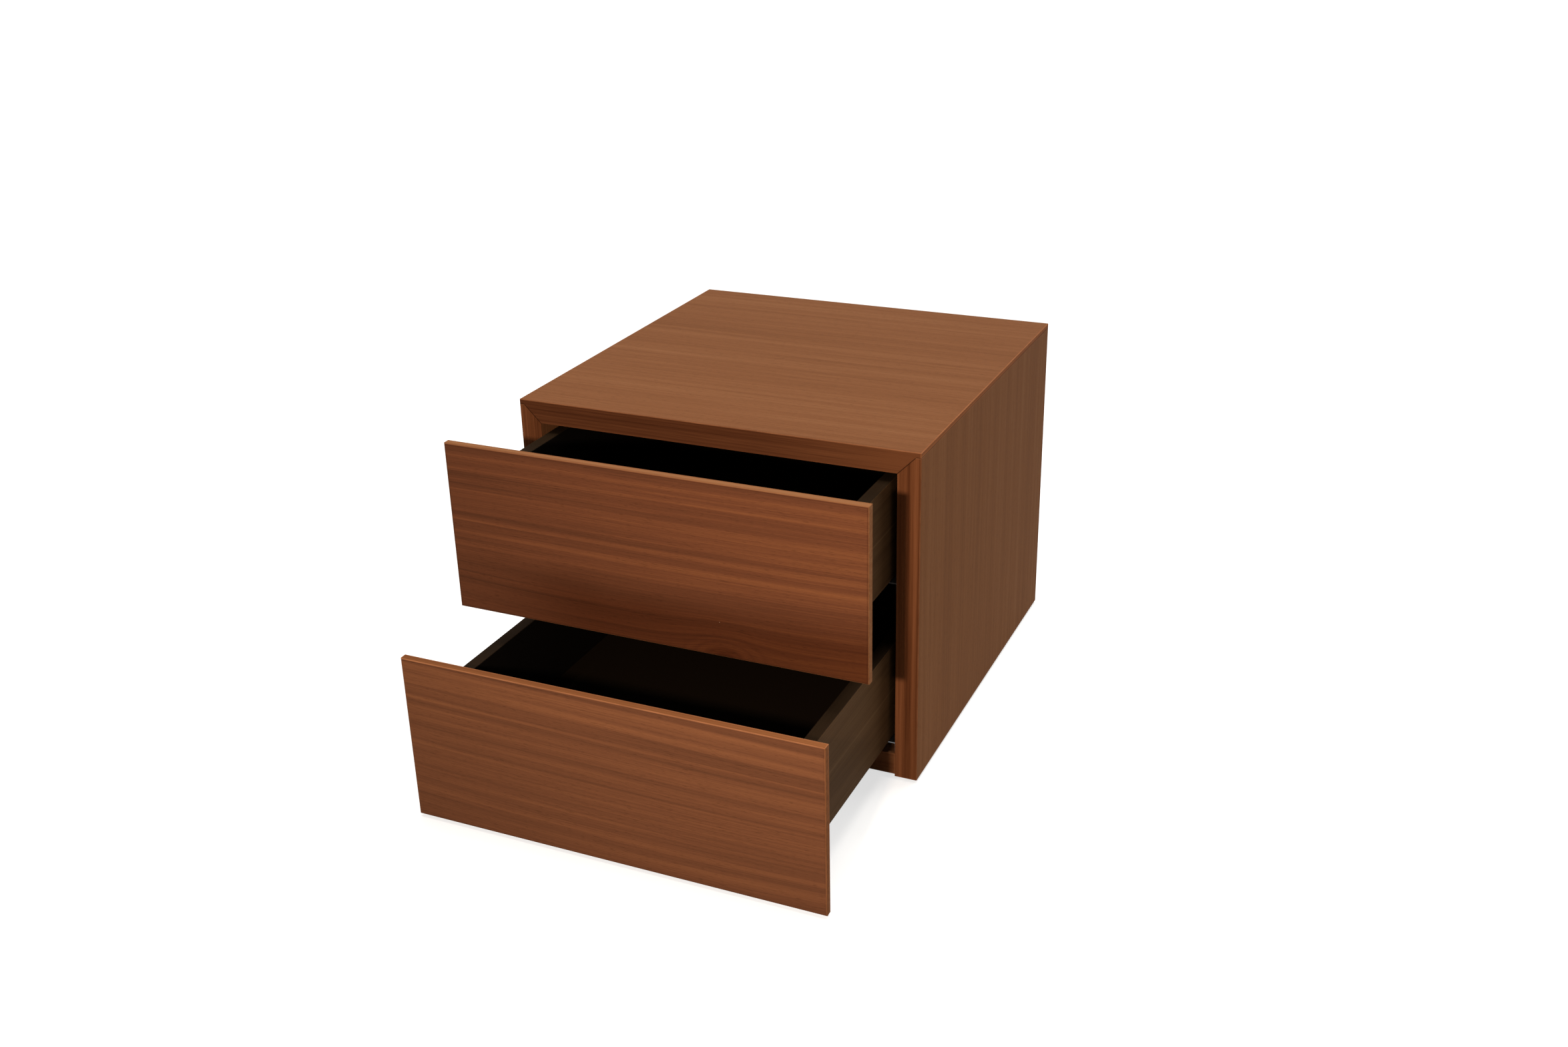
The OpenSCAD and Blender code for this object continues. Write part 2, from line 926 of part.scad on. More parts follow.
module box_dowels() {
    color(beech)
        for (side = SIDES)
            at_box_dowels(side)
                translate([0, 0, -box_dowel_in_end])
                    cylinder(d = box_dowel_d, h = box_dowel_in_side + box_dowel_in_end);
}

module front_screws() {
    color(steel)
        at_front_screws()
            flat_screw(front_screw_d, front_screw_l);
}

// Frames of a drawer rail's screws, under its tabs and upwards
module at_tab_screws(side) {
    for (y = ends_and_middle(first_tab_y, last_tab_y))
        inboard(side)
            translate([tab_screw_x, y, bottom_recess - strip_t])
                children();
}

module drawer_rail(side) {
    tab_from = runner_x;
    tab_to = channel_x + channel_w + tab_w;
    color(zinc)
        difference() {
            union() {
                inboard(side)
                    along_y(drawer_rail_y, sliding_rail_l)
                        translate([runner_x, bottom_recess - channel_h / 2])
                            mirror([0, 1])
                                channel_section();
                for (y = ends_and_middle(first_tab_y, last_tab_y))
                    inboard(side)
                        translate([(tab_from + tab_to) / 2, y, bottom_recess - strip_t])
                            linear_extrude(strip_t)
                                round_rect(tab_to - tab_from, tab_l, tab_l / 6);
            }
            at_tab_screws(side)
                translate([0, 0, -past])
                    cylinder(d = tab_screw_d + 2 * hole_play, h = strip_t + 2 * past);
        }
}

module drawer_rail_screws() {
    color(steel)
        for (side = SIDES)
            at_tab_screws(side)
                pan_screw(tab_screw_d, tab_screw_l, tab_head_d, tab_head_h);
}

// ---------- Pieces between the rails, drawn for the closed drawer ----------

// Two flanges on a double web, about its middle
module middle_section() {
    difference() {
        round_rect(flange_w, middle_h, strip_t / 2);
        for (side = SIDES)
            translate([side * (strip_t + flange_w / 2), 0])
                round_rect(flange_w, middle_h - 2 * strip_t, bend_r);
    }
}

module middle_rail(side) {
    color(zinc)
        inboard(side)
            along_y(sliding_rail_y, sliding_rail_l)
                translate([runner_x, (middle_top + middle_bottom) / 2])
                    middle_section();
}

// Frames of the rollers of both sides, in a cage whose middle is at y and z
module at_rollers(y, z) {
    steps = floor((cage_l - roller_pitch) / roller_pitch);
    for (side = SIDES, i = [0 : steps])
        inboard(side)
            translate([runner_x, y + (i - steps / 2) * roller_pitch, z])
                children();
}

module roller_cages(y, z) {
    color(pale_nylon)
        difference() {
            for (side = SIDES)
                inboard(side)
                    translate([runner_x, y, z - cage_t / 2])
                        linear_extrude(cage_t)
                            round_rect(cage_w, cage_l, cage_t);
            at_rollers(y, z)
                cube([roller_l + 2 * pocket_play, roller_d + 2 * pocket_play, roller_d], center = true);
        }
}

module rollers(y, z) {
    color(steel)
        at_rollers(y, z)
            rotate([0, 90, 0])
                cylinder(d = roller_d, h = roller_l, center = true);
}

module cabinet_roller_cages() {
    roller_cages(cabinet_cage_y, lower_roller_z);
}

module cabinet_rollers() {
    rollers(cabinet_cage_y, lower_roller_z);
}

module drawer_roller_cages() {
    roller_cages(drawer_cage_y, upper_roller_z);
}

module drawer_rollers() {
    rollers(drawer_cage_y, upper_roller_z);
}

// ---------- The whole piece ----------

on_floor() top_panel();
on_floor() side_panel(LEFT);  // left_side_panel
on_floor() side_panel(RIGHT);  // right_side_panel
on_floor() bottom_panel();
on_floor() back_panel();
on_floor() mitre_tongues();
on_floor() bottom_dowels();
on_floor() back_panel_screws();
on_floor() floor_glides();
on_floor() glide_nails();

upper(0) cabinet_rail(LEFT);  // upper_left_cabinet_rail
upper(0) cabinet_rail(RIGHT);  // upper_right_cabinet_rail
lower(0) cabinet_rail(LEFT);  // lower_left_cabinet_rail
lower(0) cabinet_rail(RIGHT);  // lower_right_cabinet_rail
on_floor() cabinet_rail_screws();
on_floor() latch_housings();
on_floor() latch_screws();
upper(0) latch_plunger();  // upper_latch_plunger
lower(0) latch_plunger();  // lower_latch_plunger

upper_drawer() drawer_front(upper_box_rise);  // upper_drawer_front
upper_drawer() box_front();  // upper_box_front
upper_drawer() box_side(LEFT);  // upper_box_left_side
upper_drawer() box_side(RIGHT);  // upper_box_right_side
upper_drawer() box_back();  // upper_box_back
upper_drawer() box_bottom();  // upper_box_bottom
upper_drawer() box_dowels();  // upper_box_dowels
upper_drawer() front_screws();  // upper_front_screws
upper_drawer() drawer_rail(LEFT);  // upper_left_drawer_rail
upper_drawer() drawer_rail(RIGHT);  // upper_right_drawer_rail
upper_drawer() drawer_rail_screws();  // upper_drawer_rail_screws
upper(1 / 2) middle_rail(LEFT);  // upper_left_middle_rail
upper(1 / 2) middle_rail(RIGHT);  // upper_right_middle_rail
upper(1 / 4) cabinet_roller_cages();  // upper_cabinet_roller_cages
upper(1 / 4) cabinet_rollers();  // upper_cabinet_rollers
upper(3 / 4) drawer_roller_cages();  // upper_drawer_roller_cages
upper(3 / 4) drawer_rollers();  // upper_drawer_rollers

lower_drawer() drawer_front(lower_box_z);  // lower_drawer_front
lower_drawer() box_front();  // lower_box_front
lower_drawer() box_side(LEFT);  // lower_box_left_side
lower_drawer() box_side(RIGHT);  // lower_box_right_side
lower_drawer() box_back();  // lower_box_back
lower_drawer() box_bottom();  // lower_box_bottom
lower_drawer() box_dowels();  // lower_box_dowels
lower_drawer() front_screws();  // lower_front_screws
lower_drawer() drawer_rail(LEFT);  // lower_left_drawer_rail
lower_drawer() drawer_rail(RIGHT);  // lower_right_drawer_rail
lower_drawer() drawer_rail_screws();  // lower_drawer_rail_screws
lower(1 / 2) middle_rail(LEFT);  // lower_left_middle_rail
lower(1 / 2) middle_rail(RIGHT);  // lower_right_middle_rail
lower(1 / 4) cabinet_roller_cages();  // lower_cabinet_roller_cages
lower(1 / 4) cabinet_rollers();  // lower_cabinet_rollers
lower(3 / 4) drawer_roller_cages();  // lower_drawer_roller_cages
lower(3 / 4) drawer_rollers();  // lower_drawer_rollers
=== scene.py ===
# %% [markdown]
# # Dressing a walnut bedside chest
#
# The chest comes in as a frame of exact solids: five boards, two drawers, their runners and their
# push latches. Its shapes are right, so most of this lesson is about finishes. After the camera and
# the lights it builds one finish after another, and it ends with the screws, which are turned here.

# %% The frame
import math

import bpy
from mathutils import Matrix, Vector


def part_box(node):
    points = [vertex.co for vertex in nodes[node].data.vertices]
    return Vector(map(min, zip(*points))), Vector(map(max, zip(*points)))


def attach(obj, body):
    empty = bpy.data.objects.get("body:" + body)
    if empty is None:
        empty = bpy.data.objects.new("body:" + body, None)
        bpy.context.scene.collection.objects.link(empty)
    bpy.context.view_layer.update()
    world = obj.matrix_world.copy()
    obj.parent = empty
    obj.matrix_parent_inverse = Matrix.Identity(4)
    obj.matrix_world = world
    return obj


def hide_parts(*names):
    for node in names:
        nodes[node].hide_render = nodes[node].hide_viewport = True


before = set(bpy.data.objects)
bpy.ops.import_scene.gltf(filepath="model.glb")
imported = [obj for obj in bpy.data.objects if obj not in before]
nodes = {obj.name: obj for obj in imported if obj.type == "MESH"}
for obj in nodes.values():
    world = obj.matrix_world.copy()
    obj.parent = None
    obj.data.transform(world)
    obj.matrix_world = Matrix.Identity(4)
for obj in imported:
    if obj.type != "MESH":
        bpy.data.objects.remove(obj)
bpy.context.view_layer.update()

# %% [markdown]
# ## Units
#
# Blender works in metres, but cabinet makers and their materials work in millimetres. One factor
# keeps every size below readable. Boards are measured from the frame, so that a finish knows where
# its board begins and ends.

# %% Millimetres
MM = 0.001


def size_box(node):
    """A node's lowest and highest corners in millimetres."""
    low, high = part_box(node)
    return low / MM, high / MM


low, high = size_box("top_panel")
print("the top is", round(high.x - low.x), "mm wide and", round(high.y - low.y), "mm deep")

# %% [markdown]
# ## The camera
#
# A camera is a position, three turns and a lens. It stands in front of the chest and to its right, a
# little above it, as someone would who looks down into the open drawers. The Standard view shows a
# colour as it was written.

# %% Camera
camera_data = bpy.data.cameras.new("camera")
camera_data.sensor_width = 36
camera_data.lens = 37.23
camera = bpy.data.objects.new("camera", camera_data)
camera.location = (0.7729, -1.6427, 1.0387)
camera.rotation_euler = [math.radians(turn) for turn in (66.31, 1.12, 23.68)]
bpy.context.scene.collection.objects.link(camera)
bpy.context.scene.camera = camera
bpy.context.scene.view_settings.view_transform = "Standard"
print("lens", camera_data.lens, "mm")

# %% [markdown]
# ## Colours
#
# Designers write a colour as a hex value, which is made for screens. The renderer adds up light, and
# needs the same colour as linear shares of red, green and blue. One function turns one into the
# other, so that no shader below holds a colour in two notations.

# %% From hex to linear
def linear(hex_colour):
    """An sRGB hex colour as linear red, green, blue and alpha."""
    channels = [int(hex_colour[i:i + 2], 16) / 255 for i in (1, 3, 5)]
    return [c / 12.92 if c <= 0.04045 else ((c + 0.055) / 1.055) ** 2.4 for c in channels] + [1]


print("a middle walnut brown in linear light:", [round(share, 3) for share in linear("#875839")[:3]])

# %% [markdown]
# ## Adding shader nodes
#
# A material is a graph of nodes. It could be drawn by hand in the shader editor, but a finish for
# many boards, each with other numbers, is easier to keep as code. One small function adds a node,
# sets it and links it, so each finish below reads as a short list of steps.

# %% One node
def add(tree, kind, inputs=None, stops=None, output=None, **settings):
    """Adds a node with its settings, sets or links its inputs, and returns one output, or all."""
    node = tree.nodes.new("ShaderNode" + kind)
    for name, value in settings.items():
        setattr(node, name, value)
    if stops:
        ramp = node.color_ramp.elements
        while len(ramp) < len(stops):
            ramp.new(1)
        for element, (position, colour) in zip(ramp, stops):
            element.position = position
            element.color = linear(colour) if isinstance(colour, str) else (colour, colour, colour, 1)
    live = [socket for socket in node.inputs if socket.enabled]
    for key, value in (inputs or {}).items():
        socket = live[key] if isinstance(key, int) else next(s for s in live if s.name == key)
        if isinstance(value, bpy.types.NodeSocket):
            tree.links.new(value, socket)
        else:
            socket.default_value = value
    if output == "all":
        return list(node.outputs)
    return node.outputs[output] if output else next(s for s in node.outputs if s.enabled)


print("every node of every finish comes from", add.__name__)

# %% [markdown]
# ## From nodes to a finish
#
# Every finish here is one Principled shader: its colour, how metallic and how rough it is, and a
# relief. A relief this fine would take millions of faces, so it is given as a bump, whose depth is
# the real one. A finish then replaces whatever the node had.

# %% Materials
def new_material(name):
    """An empty node material and its tree."""
    material = bpy.data.materials.new(name)
    material.use_nodes = True
    material.node_tree.nodes.clear()
    return material, material.node_tree


def surface(tree, inputs, height=None, depth=0.1 * MM):
    """Closes a material with one Principled shader, and with a bump of the given depth."""
    if height is not None:
        bump = add(tree, "Bump", {"Strength": 1.0, "Distance": depth, "Height": height})
        inputs = {**inputs, "Normal": bump}
    shader = add(tree, "BsdfPrincipled", inputs)
    add(tree, "OutputMaterial", {"Surface": shader}, output="all")


def paint(material, *names):
    """Gives one finish to whole nodes."""
    for name in names:
        nodes[name].data.materials.clear()
        nodes[name].data.materials.append(material)


print("materials before the first finish:", len(bpy.data.materials))

# %% [markdown]
# ## Light
#
# Three plain lights are enough. A small warm lamp stands in front, low enough to throw the upper
# front's shadow on the right stile. A wide soft light comes straight down, like that of a ceiling
# panel, and one comes from a window on the right and well behind the chest, so the drawers' walls
# darken towards the opening. Together they give the top about the light at which a colour renders as
# it was written.

# %% Lamps
def add_lamp(name, kind, towards, colour, place=(0, 0, 0), **settings):
    """A lamp with its settings. towards points from what it lights to the lamp."""
    data = bpy.data.lights.new(name, kind)
    data.color = linear(colour)[:3]
    for setting, value in settings.items():
        setattr(data, setting, value)
    lamp = bpy.data.objects.new(name, data)
    lamp.location = place
    lamp.rotation_euler = Vector(towards).to_track_quat("Z", "Y").to_euler()
    bpy.context.scene.collection.objects.link(lamp)


key_place = Vector((0.36, -1.3915, 0.785))
key_aim = Vector((0, -0.27, 0.2))
add_lamp("key", "AREA", key_place - key_aim, "#FFEBD9", key_place, size=0.05, energy=10.3)
add_lamp("ceiling", "SUN", (0, 0.04, 1), "#FFFBF6", energy=2.05, angle=math.radians(30))
add_lamp("window", "SUN", (0.5, 0.87, 0.36), "#FFFBF6", energy=1.9, angle=math.radians(55))
print("lamps:", [lamp.name for lamp in bpy.data.lights])

# %% [markdown]
# ## What is seen and what gives light
#
# The room is white, but a room that is white all round would also light the chest from all round and
# wash out its shadows. Blender can tell one kind of ray from another, so the white goes only to rays
# that look: those from the camera, and those that a shiny or clear thing sends on. The chest itself
# is lit by the lamps, with a little fill from the room.

# %% The room
ROOM_FILL = 0.05

world = bpy.data.worlds.new("room")
bpy.context.scene.world = world
world.use_nodes = True
room = world.node_tree
room.nodes.clear()


def seen_directly(tree):
    """1 for rays from the camera and for those that shiny or clear things send on, otherwise 0."""
    kinds = ("Camera", "Glossy", "Transmission")
    looks = [add(tree, "LightPath", output=f"Is {kind} Ray") for kind in kinds]
    either = add(tree, "Math", {0: looks[0], 1: looks[1]}, operation="MAXIMUM")
    return add(tree, "Math", {0: either, 1: looks[2]}, operation="MAXIMUM")


strength = add(room, "MapRange", {"Value": seen_directly(room), "To Min": ROOM_FILL, "To Max": 1.0})
backdrop = add(room, "Background", {"Color": linear("#FFFFFF"), "Strength": strength})
add(room, "OutputWorld", {"Surface": backdrop}, output="all")
print("the room's fill is", ROOM_FILL, "of the white that is seen")

# %% [markdown]
# ## The floor
#
# The chest stands on a pale floor, a plane so wide that its edge is out of sight. To the eye it is
# nearly white and still takes the chest's shadow, because a diffuse surface shows under a weaker
# glow. For the light that it throws back on the chest it is a quiet middle grey.

# %% Floor
FLOOR_WIDTH = 30
FLOOR_GLOW = 0.68

bpy.ops.object.select_all(action="DESELECT")
bpy.ops.mesh.primitive_plane_add(size=FLOOR_WIDTH, location=(0, 0, 0))
floor = bpy.context.active_object
floor.name = "floor"
floor_material, tree = new_material("pale floor")
lit_floor = add(tree, "BsdfDiffuse", {"Color": linear("#C0BFBC")})
glow = add(tree, "Emission", {"Color": linear("#FFFFFF"), "Strength": FLOOR_GLOW})
pale = add(tree, "AddShader", {0: lit_floor, 1: glow})
quiet = add(tree, "BsdfDiffuse", {"Color": linear("#7C7B79")})
mixed = add(tree, "MixShader", {0: seen_directly(tree), 1: quiet, 2: pale})
add(tree, "OutputMaterial", {"Surface": mixed}, output="all")
floor.data.materials.append(floor_material)
print("the floor is", FLOOR_WIDTH, "m wide")

# %% [markdown]
# ## Grain
#
# Walnut veneer is a slice 0.6 mm thick, glued on board, sanded and sprayed with a satin lacquer. Its
# look has several scales: broad bands where the growth of many years drifts, streaks of single years
# a few millimetres wide, fine lines, and a faint fibre between them. All are long along the grain and
# narrow across it. A wood picture could be laid on the boards, but it would repeat and blur close up.
# So one noise pattern, squeezed across the grain and stretched along it, gives each scale in turn.

# %% Streaks along the grain
AXES = "XYZ"


def in_mm(tree):
    """Object coordinates in millimetres."""
    place = add(tree, "TexCoord", output="Object")
    return add(tree, "VectorMath", {0: place, "Scale": 1 / MM}, operation="SCALE")


def noise_along(tree, space, along, width, length, shift, detail, output=None):
    """Noise of a width and a length in millimetres. The shift keeps one board unlike the next."""
    rate = [1 / length if axis == along else 1 / width for axis in AXES]
    stretched = add(tree, "VectorMath", {0: space, 1: rate}, operation="MULTIPLY")
    shifted = add(tree, "VectorMath", {0: stretched, 1: shift}, operation="ADD")
    return add(tree, "TexNoise", {"Vector": shifted, "Scale": 1.0, "Detail": detail}, output=output)


def waved(tree, space, along, seed, reach_mm, length=420, width=110):
    """Moves the pattern gently from side to side, as no tree grows quite straight."""
    shift = (seed, 0.7 * seed, 1.3 * seed)
    wave = noise_along(tree, space, along, width, length, shift, 1.0, "Color")
    centred = add(tree, "VectorMath", {0: wave, 1: (0.5, 0.5, 0.5)}, operation="SUBTRACT")
    reach = [0 if axis == along else 2 * reach_mm for axis in AXES]
    moved = add(tree, "VectorMath", {0: centred, 1: reach}, operation="MULTIPLY")
    return add(tree, "VectorMath", {0: space, 1: moved}, operation="ADD")


def streaks(tree, space, along, width, length, seed, detail=2.0):
    """Soft streaks of a width and a length in millimetres, around 0.5."""
    return noise_along(tree, space, along, width, length, (seed, 1.7 * seed, 0.6 * seed), detail)


print("grain can run along", ", ".join(AXES))

# %% [markdown]
# ## Adding up patterns
#
# A tree doesn't paint one scale over another: all of them darken or lighten the same wood. So the
# patterns are added. Each lies around 0.5, and so does their sum, whatever the shares are, which
# keeps a board's middle tone where it was when a share is changed. A ramp of three tones then turns
# the sum to colour.

# %% One tone out of many
def layered(tree, layers):
    """Adds patterns that lie around 0.5, each with its share, to one tone around 0.5."""
    tone = 0.5 - 0.5 * sum(share for pattern, share in layers)
    for pattern, share in layers:
        tone = add(tree, "Math", {0: pattern, 1: share, 2: tone}, operation="MULTIPLY_ADD")
    return tone


def three_stops(tones, reach=0.3):
    """Ramp stops for a dark, a middle and a light tone, below, at and above 0.5."""
    return [(0.5 - reach, tones[0]), (0.5, tones[1]), (0.5 + reach, tones[2])]


print("stops of a ramp:", three_stops(("dark", "middle", "light")))

# %% [markdown]
# ## Finding a place on a board
#
# Edge bands, joints and worn arrises lie at known distances from a board's faces. They could be cut
# out as meshes of their own, but they are as thin as a veneer. So the material measures how near a
# point is to a plane or to the faces of its board, and paints there.

# %% Near a plane, near a face
def near(tree, value, middle, half, soft):
    """1 where a value lies within half of a middle, falling to 0 over a soft edge."""
    away = add(tree, "Math", {0: value, 1: middle}, operation="SUBTRACT")
    away = add(tree, "Math", {0: away}, operation="ABSOLUTE")
    return add(tree, "MapRange", {"Value": away, "From Min": half, "From Max": half + soft,
                                  "To Min": 1.0, "To Max": 0.0})


def from_middle(tree, space, board):
    """How far a point is from its board's middle along each axis, and half the board's size."""
    low, high = size_box(board)
    offset = add(tree, "VectorMath", {0: space, 1: (low + high) / 2}, operation="SUBTRACT")
    return add(tree, "VectorMath", {0: offset}, operation="ABSOLUTE"), (high - low) / 2


def faces_near(tree, space, board, reach, axes):
    """How many of a board's faces across the given axes are within reach of a point."""
    offset, half = from_middle(tree, space, board)
    limit = Vector((reach, reach, reach))
    bounds = {"Vector": offset, "From Min": half - limit * 1.25, "From Max": half - limit}
    close = add(tree, "MapRange", bounds, data_type="FLOAT_VECTOR")
    return add(tree, "VectorMath", {0: close, 1: axes}, operation="DOT_PRODUCT", output="Value")


print("distances are measured from", len(nodes), "boxes")

# %% [markdown]
# ## How the growth lines run on the two fronts
#
# The fronts are what one looks at, so their veneer isn't left to chance. A veneer is laid out by eye.
# Here a list of light and dark growth streaks, each at its distance in millimetres below the front's
# top edge and with its tone, is turned into a colour ramp across the grain.

# %% Laying out a front
UPPER_FRONT_STREAKS = [
    (0, .46), (4, .32), (11, .44), (15, .86), (18, .52), (26, .44), (30, .74), (33, .36), (40, .40),
    (47, .26), (51, .34), (54, .80), (58, .60), (70, .66), (81, .56), (85, .32), (88, .40), (91, .80),
    (95, .34), (103, .34), (107, .78), (111, .46), (117, .32), (125, .62), (129, .40), (146, .36),
    (160, .50), (172, .34), (180, .50), (186, .34), (192, .48), (199, .34)]
LOWER_FRONT_STREAKS = [
    (0, .34), (4, .40), (6, .18), (8, .84), (15, .72), (25, .60), (33, .58), (36, .26), (41, .40),
    (46, .24), (49, .36), (51, .80), (54, .36), (57, .28), (62, .58), (76, .58), (82, .44), (85, .22),
    (89, .50), (101, .46), (105, .18), (108, .60), (122, .72), (130, .60), (143, .46), (150, .76),
    (156, .46), (164, .54), (168, .84), (173, .48), (182, .72), (196, .56)]


def laid_out(tree, space, front, growth):
    """The tone of the listed streaks at a height on a front."""
    low, high = size_box(front)
    z = add(tree, "SeparateXYZ", {0: space}, output="Z")
    depth = add(tree, "MapRange", {"Value": z, "From Min": high.z, "From Max": low.z})
    stops = [(mm / (high.z - low.z), tone) for mm, tone in growth]
    return add(tree, "ValToRGB", {"Fac": depth}, stops=stops)


print("tones laid out on the two fronts:", len(UPPER_FRONT_STREAKS), "and", len(LOWER_FRONT_STREAKS))

# %% [markdown]
# ## Lines that sag
#
# On the real leaves the growth lines aren't level. They lean and sag a little, and both change from
# the top of a front to its foot. The list stays as it is: what is bent, by a slope and a sag, is the
# height at which a point looks it up.

# %% Bending the lines
def bent_lines(tree, space, front, slope, sag):
    """Bends level lines: slope and sag are each (at mid height, change per 100 mm up)."""
    low, high = size_box(front)
    x, y, z = add(tree, "SeparateXYZ", {0: space}, output="all")
    across = add(tree, "Math", {0: x, 1: high.x}, operation="DIVIDE")
    squared = add(tree, "Math", {0: across, 1: across}, operation="MULTIPLY")
    up = add(tree, "Math", {0: z, 1: (low.z + high.z) / 2}, operation="SUBTRACT")
    up = add(tree, "Math", {0: up, 1: 100}, operation="DIVIDE")
    lean = add(tree, "Math", {0: up, 1: slope[1], 2: slope[0]}, operation="MULTIPLY_ADD")
    dip = add(tree, "Math", {0: up, 1: sag[1], 2: sag[0]}, operation="MULTIPLY_ADD")
    level = add(tree, "Math", {0: lean, 1: across, 2: z}, operation="MULTIPLY_ADD")
    dip = add(tree, "Math", {0: dip, 1: -1}, operation="MULTIPLY")
    level = add(tree, "Math", {0: dip, 1: squared, 2: level}, operation="MULTIPLY_ADD")
    return add(tree, "CombineXYZ", {"X": x, "Y": y, "Z": level})


low, high = size_box("upper_drawer_front")
print("a front is", round(high.x - low.x), "mm wide and", round(high.z - low.z), "mm high")

# %% [markdown]
# ## The knot and a painted shade
#
# The upper front's lower part is painted darker: painted shade, where the lower drawer below keeps
# light off it. Near its lower edge the lines part round a small knot, whose rings show faintly.
# Heights close to the knot are squeezed towards its level, so the lines flow round it as they do in wood.

# %% A knot and painted shade on the upper front's lower part
KNOT_RINGS = [(0, 0.5), (0.3, 0.5), (0.38, 0.42), (0.46, 0.54), (0.55, 0.5), (0.6, 0.34), (0.66, 0.5),
              (0.75, 0.56), (0.84, 0.36), (0.9, 0.52), (1.0, 0.26)]
# In mm below the front's top edge, where the painted shade starts and where it is full
SHADE_STARTS = 108
SHADE_FULL = 172
# In mm, how far from the front's left end the painted shade takes to reach its full tone
SHADE_FADE = 190


def round_knot(tree, space, centre, half_width, half_height, pull):
    """Draws the lines apart round a knot. Its height above z is squeezed towards the knot's level."""
    offset = add(tree, "VectorMath", {0: space, 1: centre}, operation="SUBTRACT")
    shrink = (1 / half_width, 0, 1 / half_height)
    scaled = add(tree, "VectorMath", {0: offset, 1: shrink}, operation="MULTIPLY")
    square = add(tree, "VectorMath", {0: scaled, 1: scaled}, operation="DOT_PRODUCT", output="Value")
    nearness = add(tree, "Math", {0: math.exp(-1), 1: square}, operation="POWER")
    keep = add(tree, "MapRange", {"Value": nearness, "To Min": 1.0, "To Max": 1.0 - pull})
    rise = add(tree, "SeparateXYZ", {0: offset}, output="Z")
    x, y, z = add(tree, "SeparateXYZ", {0: space}, output="all")
    level = add(tree, "Math", {0: rise, 1: keep, 2: centre[2]}, operation="MULTIPLY_ADD")
    return add(tree, "CombineXYZ", {"X": x, "Y": y, "Z": level}), nearness


def shaded_foot_and_knot(tree, space, colour, board, in_knot, seed):
    """Paints shade on the lower part of a front, and darkens the core of its knot."""
    low, high = size_box(board)
    cloudy = waved(tree, space, "X", seed + 9, 14, length=160, width=60)
    x, y, z = add(tree, "SeparateXYZ", {0: cloudy}, output="all")
    down = add(tree, "MapRange", {"Value": z, "From Min": high.z - SHADE_STARTS,
                                  "From Max": high.z - SHADE_FULL, "To Max": 1.0},
               interpolation_type="SMOOTHSTEP")
    along = add(tree, "MapRange", {"Value": x, "From Min": low.x, "From Max": low.x + SHADE_FADE,
                                   "To Min": 0.1}, interpolation_type="SMOOTHSTEP")
    foot_shade = add(tree, "Math", {0: down, 1: along}, operation="MULTIPLY")
    # Painted shade: the lower part of the front is multiplied darker, weakly at its left end
    colour = add(tree, "Mix", {"Factor": foot_shade, "A": colour, "B": linear("#C2B4A9")}, data_type="RGBA",
                 blend_type="MULTIPLY")
    # The knot's core is darker wood
    core = add(tree, "MapRange", {"Value": in_knot, "From Min": 0.7, "From Max": 1.0, "To Max": 0.5})
    return add(tree, "Mix", {"Factor": core, "A": colour, "B": linear("#A89080")}, data_type="RGBA",
               blend_type="MULTIPLY")


print("tones across the knot:", len(KNOT_RINGS))

# %% [markdown]
# ## Edge bands
#
# A veneered board shows its core at the edges, so a thin band of veneer is ironed on. The band is a
# different leaf: redder on the carcass and darkest over the drawers, lighter or yellower on the
# drawer fronts. It has its own grain, which on the sides' front edges runs upright in clear stripes.
# The top's band gets lighter towards its right end.

# %% Laying an edge band
opening_half = size_box("bottom_panel")[1].x


def banded(tree, space, colour, board, axes, along, tones, seed, reach=0.8, width=4.0, share=1.6,
           lighter_end=0):
    """Lays an edge band on the faces across the given axes, with stripes along its own grain."""
    stripes = layered(tree, [(streaks(tree, space, along, width, 700, seed, detail=1.5), share),
                             (streaks(tree, space, along, 0.9, 60, seed + 1), 0.5)])
    if lighter_end:
        x = add(tree, "SeparateXYZ", {0: space}, output="X")
        right_end = {"Value": x, "From Min": opening_half / 4, "From Max": opening_half}
        to_the_right = add(tree, "MapRange", right_end)
        stripes = add(tree, "Math", {0: to_the_right, 1: lighter_end, 2: stripes}, operation="MULTIPLY_ADD")
    band = add(tree, "ValToRGB", {"Fac": stripes}, stops=three_stops(tones))
    on_band = add(tree, "Math", {0: faces_near(tree, space, board, reach, axes), 1: 1}, operation="MINIMUM")
    return add(tree, "Mix", {"Factor": on_band, "A": colour, "B": band}, data_type="RGBA")


print("the carcass opening is", round(2 * opening_half), "mm wide")

# %% [markdown]
# ## The mitres
#
# Where the top meets a side, the mitre shows as a hairline with a small step at its end, because the
# top laps the side. The boards' solids already meet on this line, but two faces that touch leave no
# mark, while real glue and a grain of play do. So the line is painted where the faces meet.

# %% The hairline of a mitre
opening_top = size_box("top_panel")[0].z
lap_height = size_box("left_side_panel")[1].z


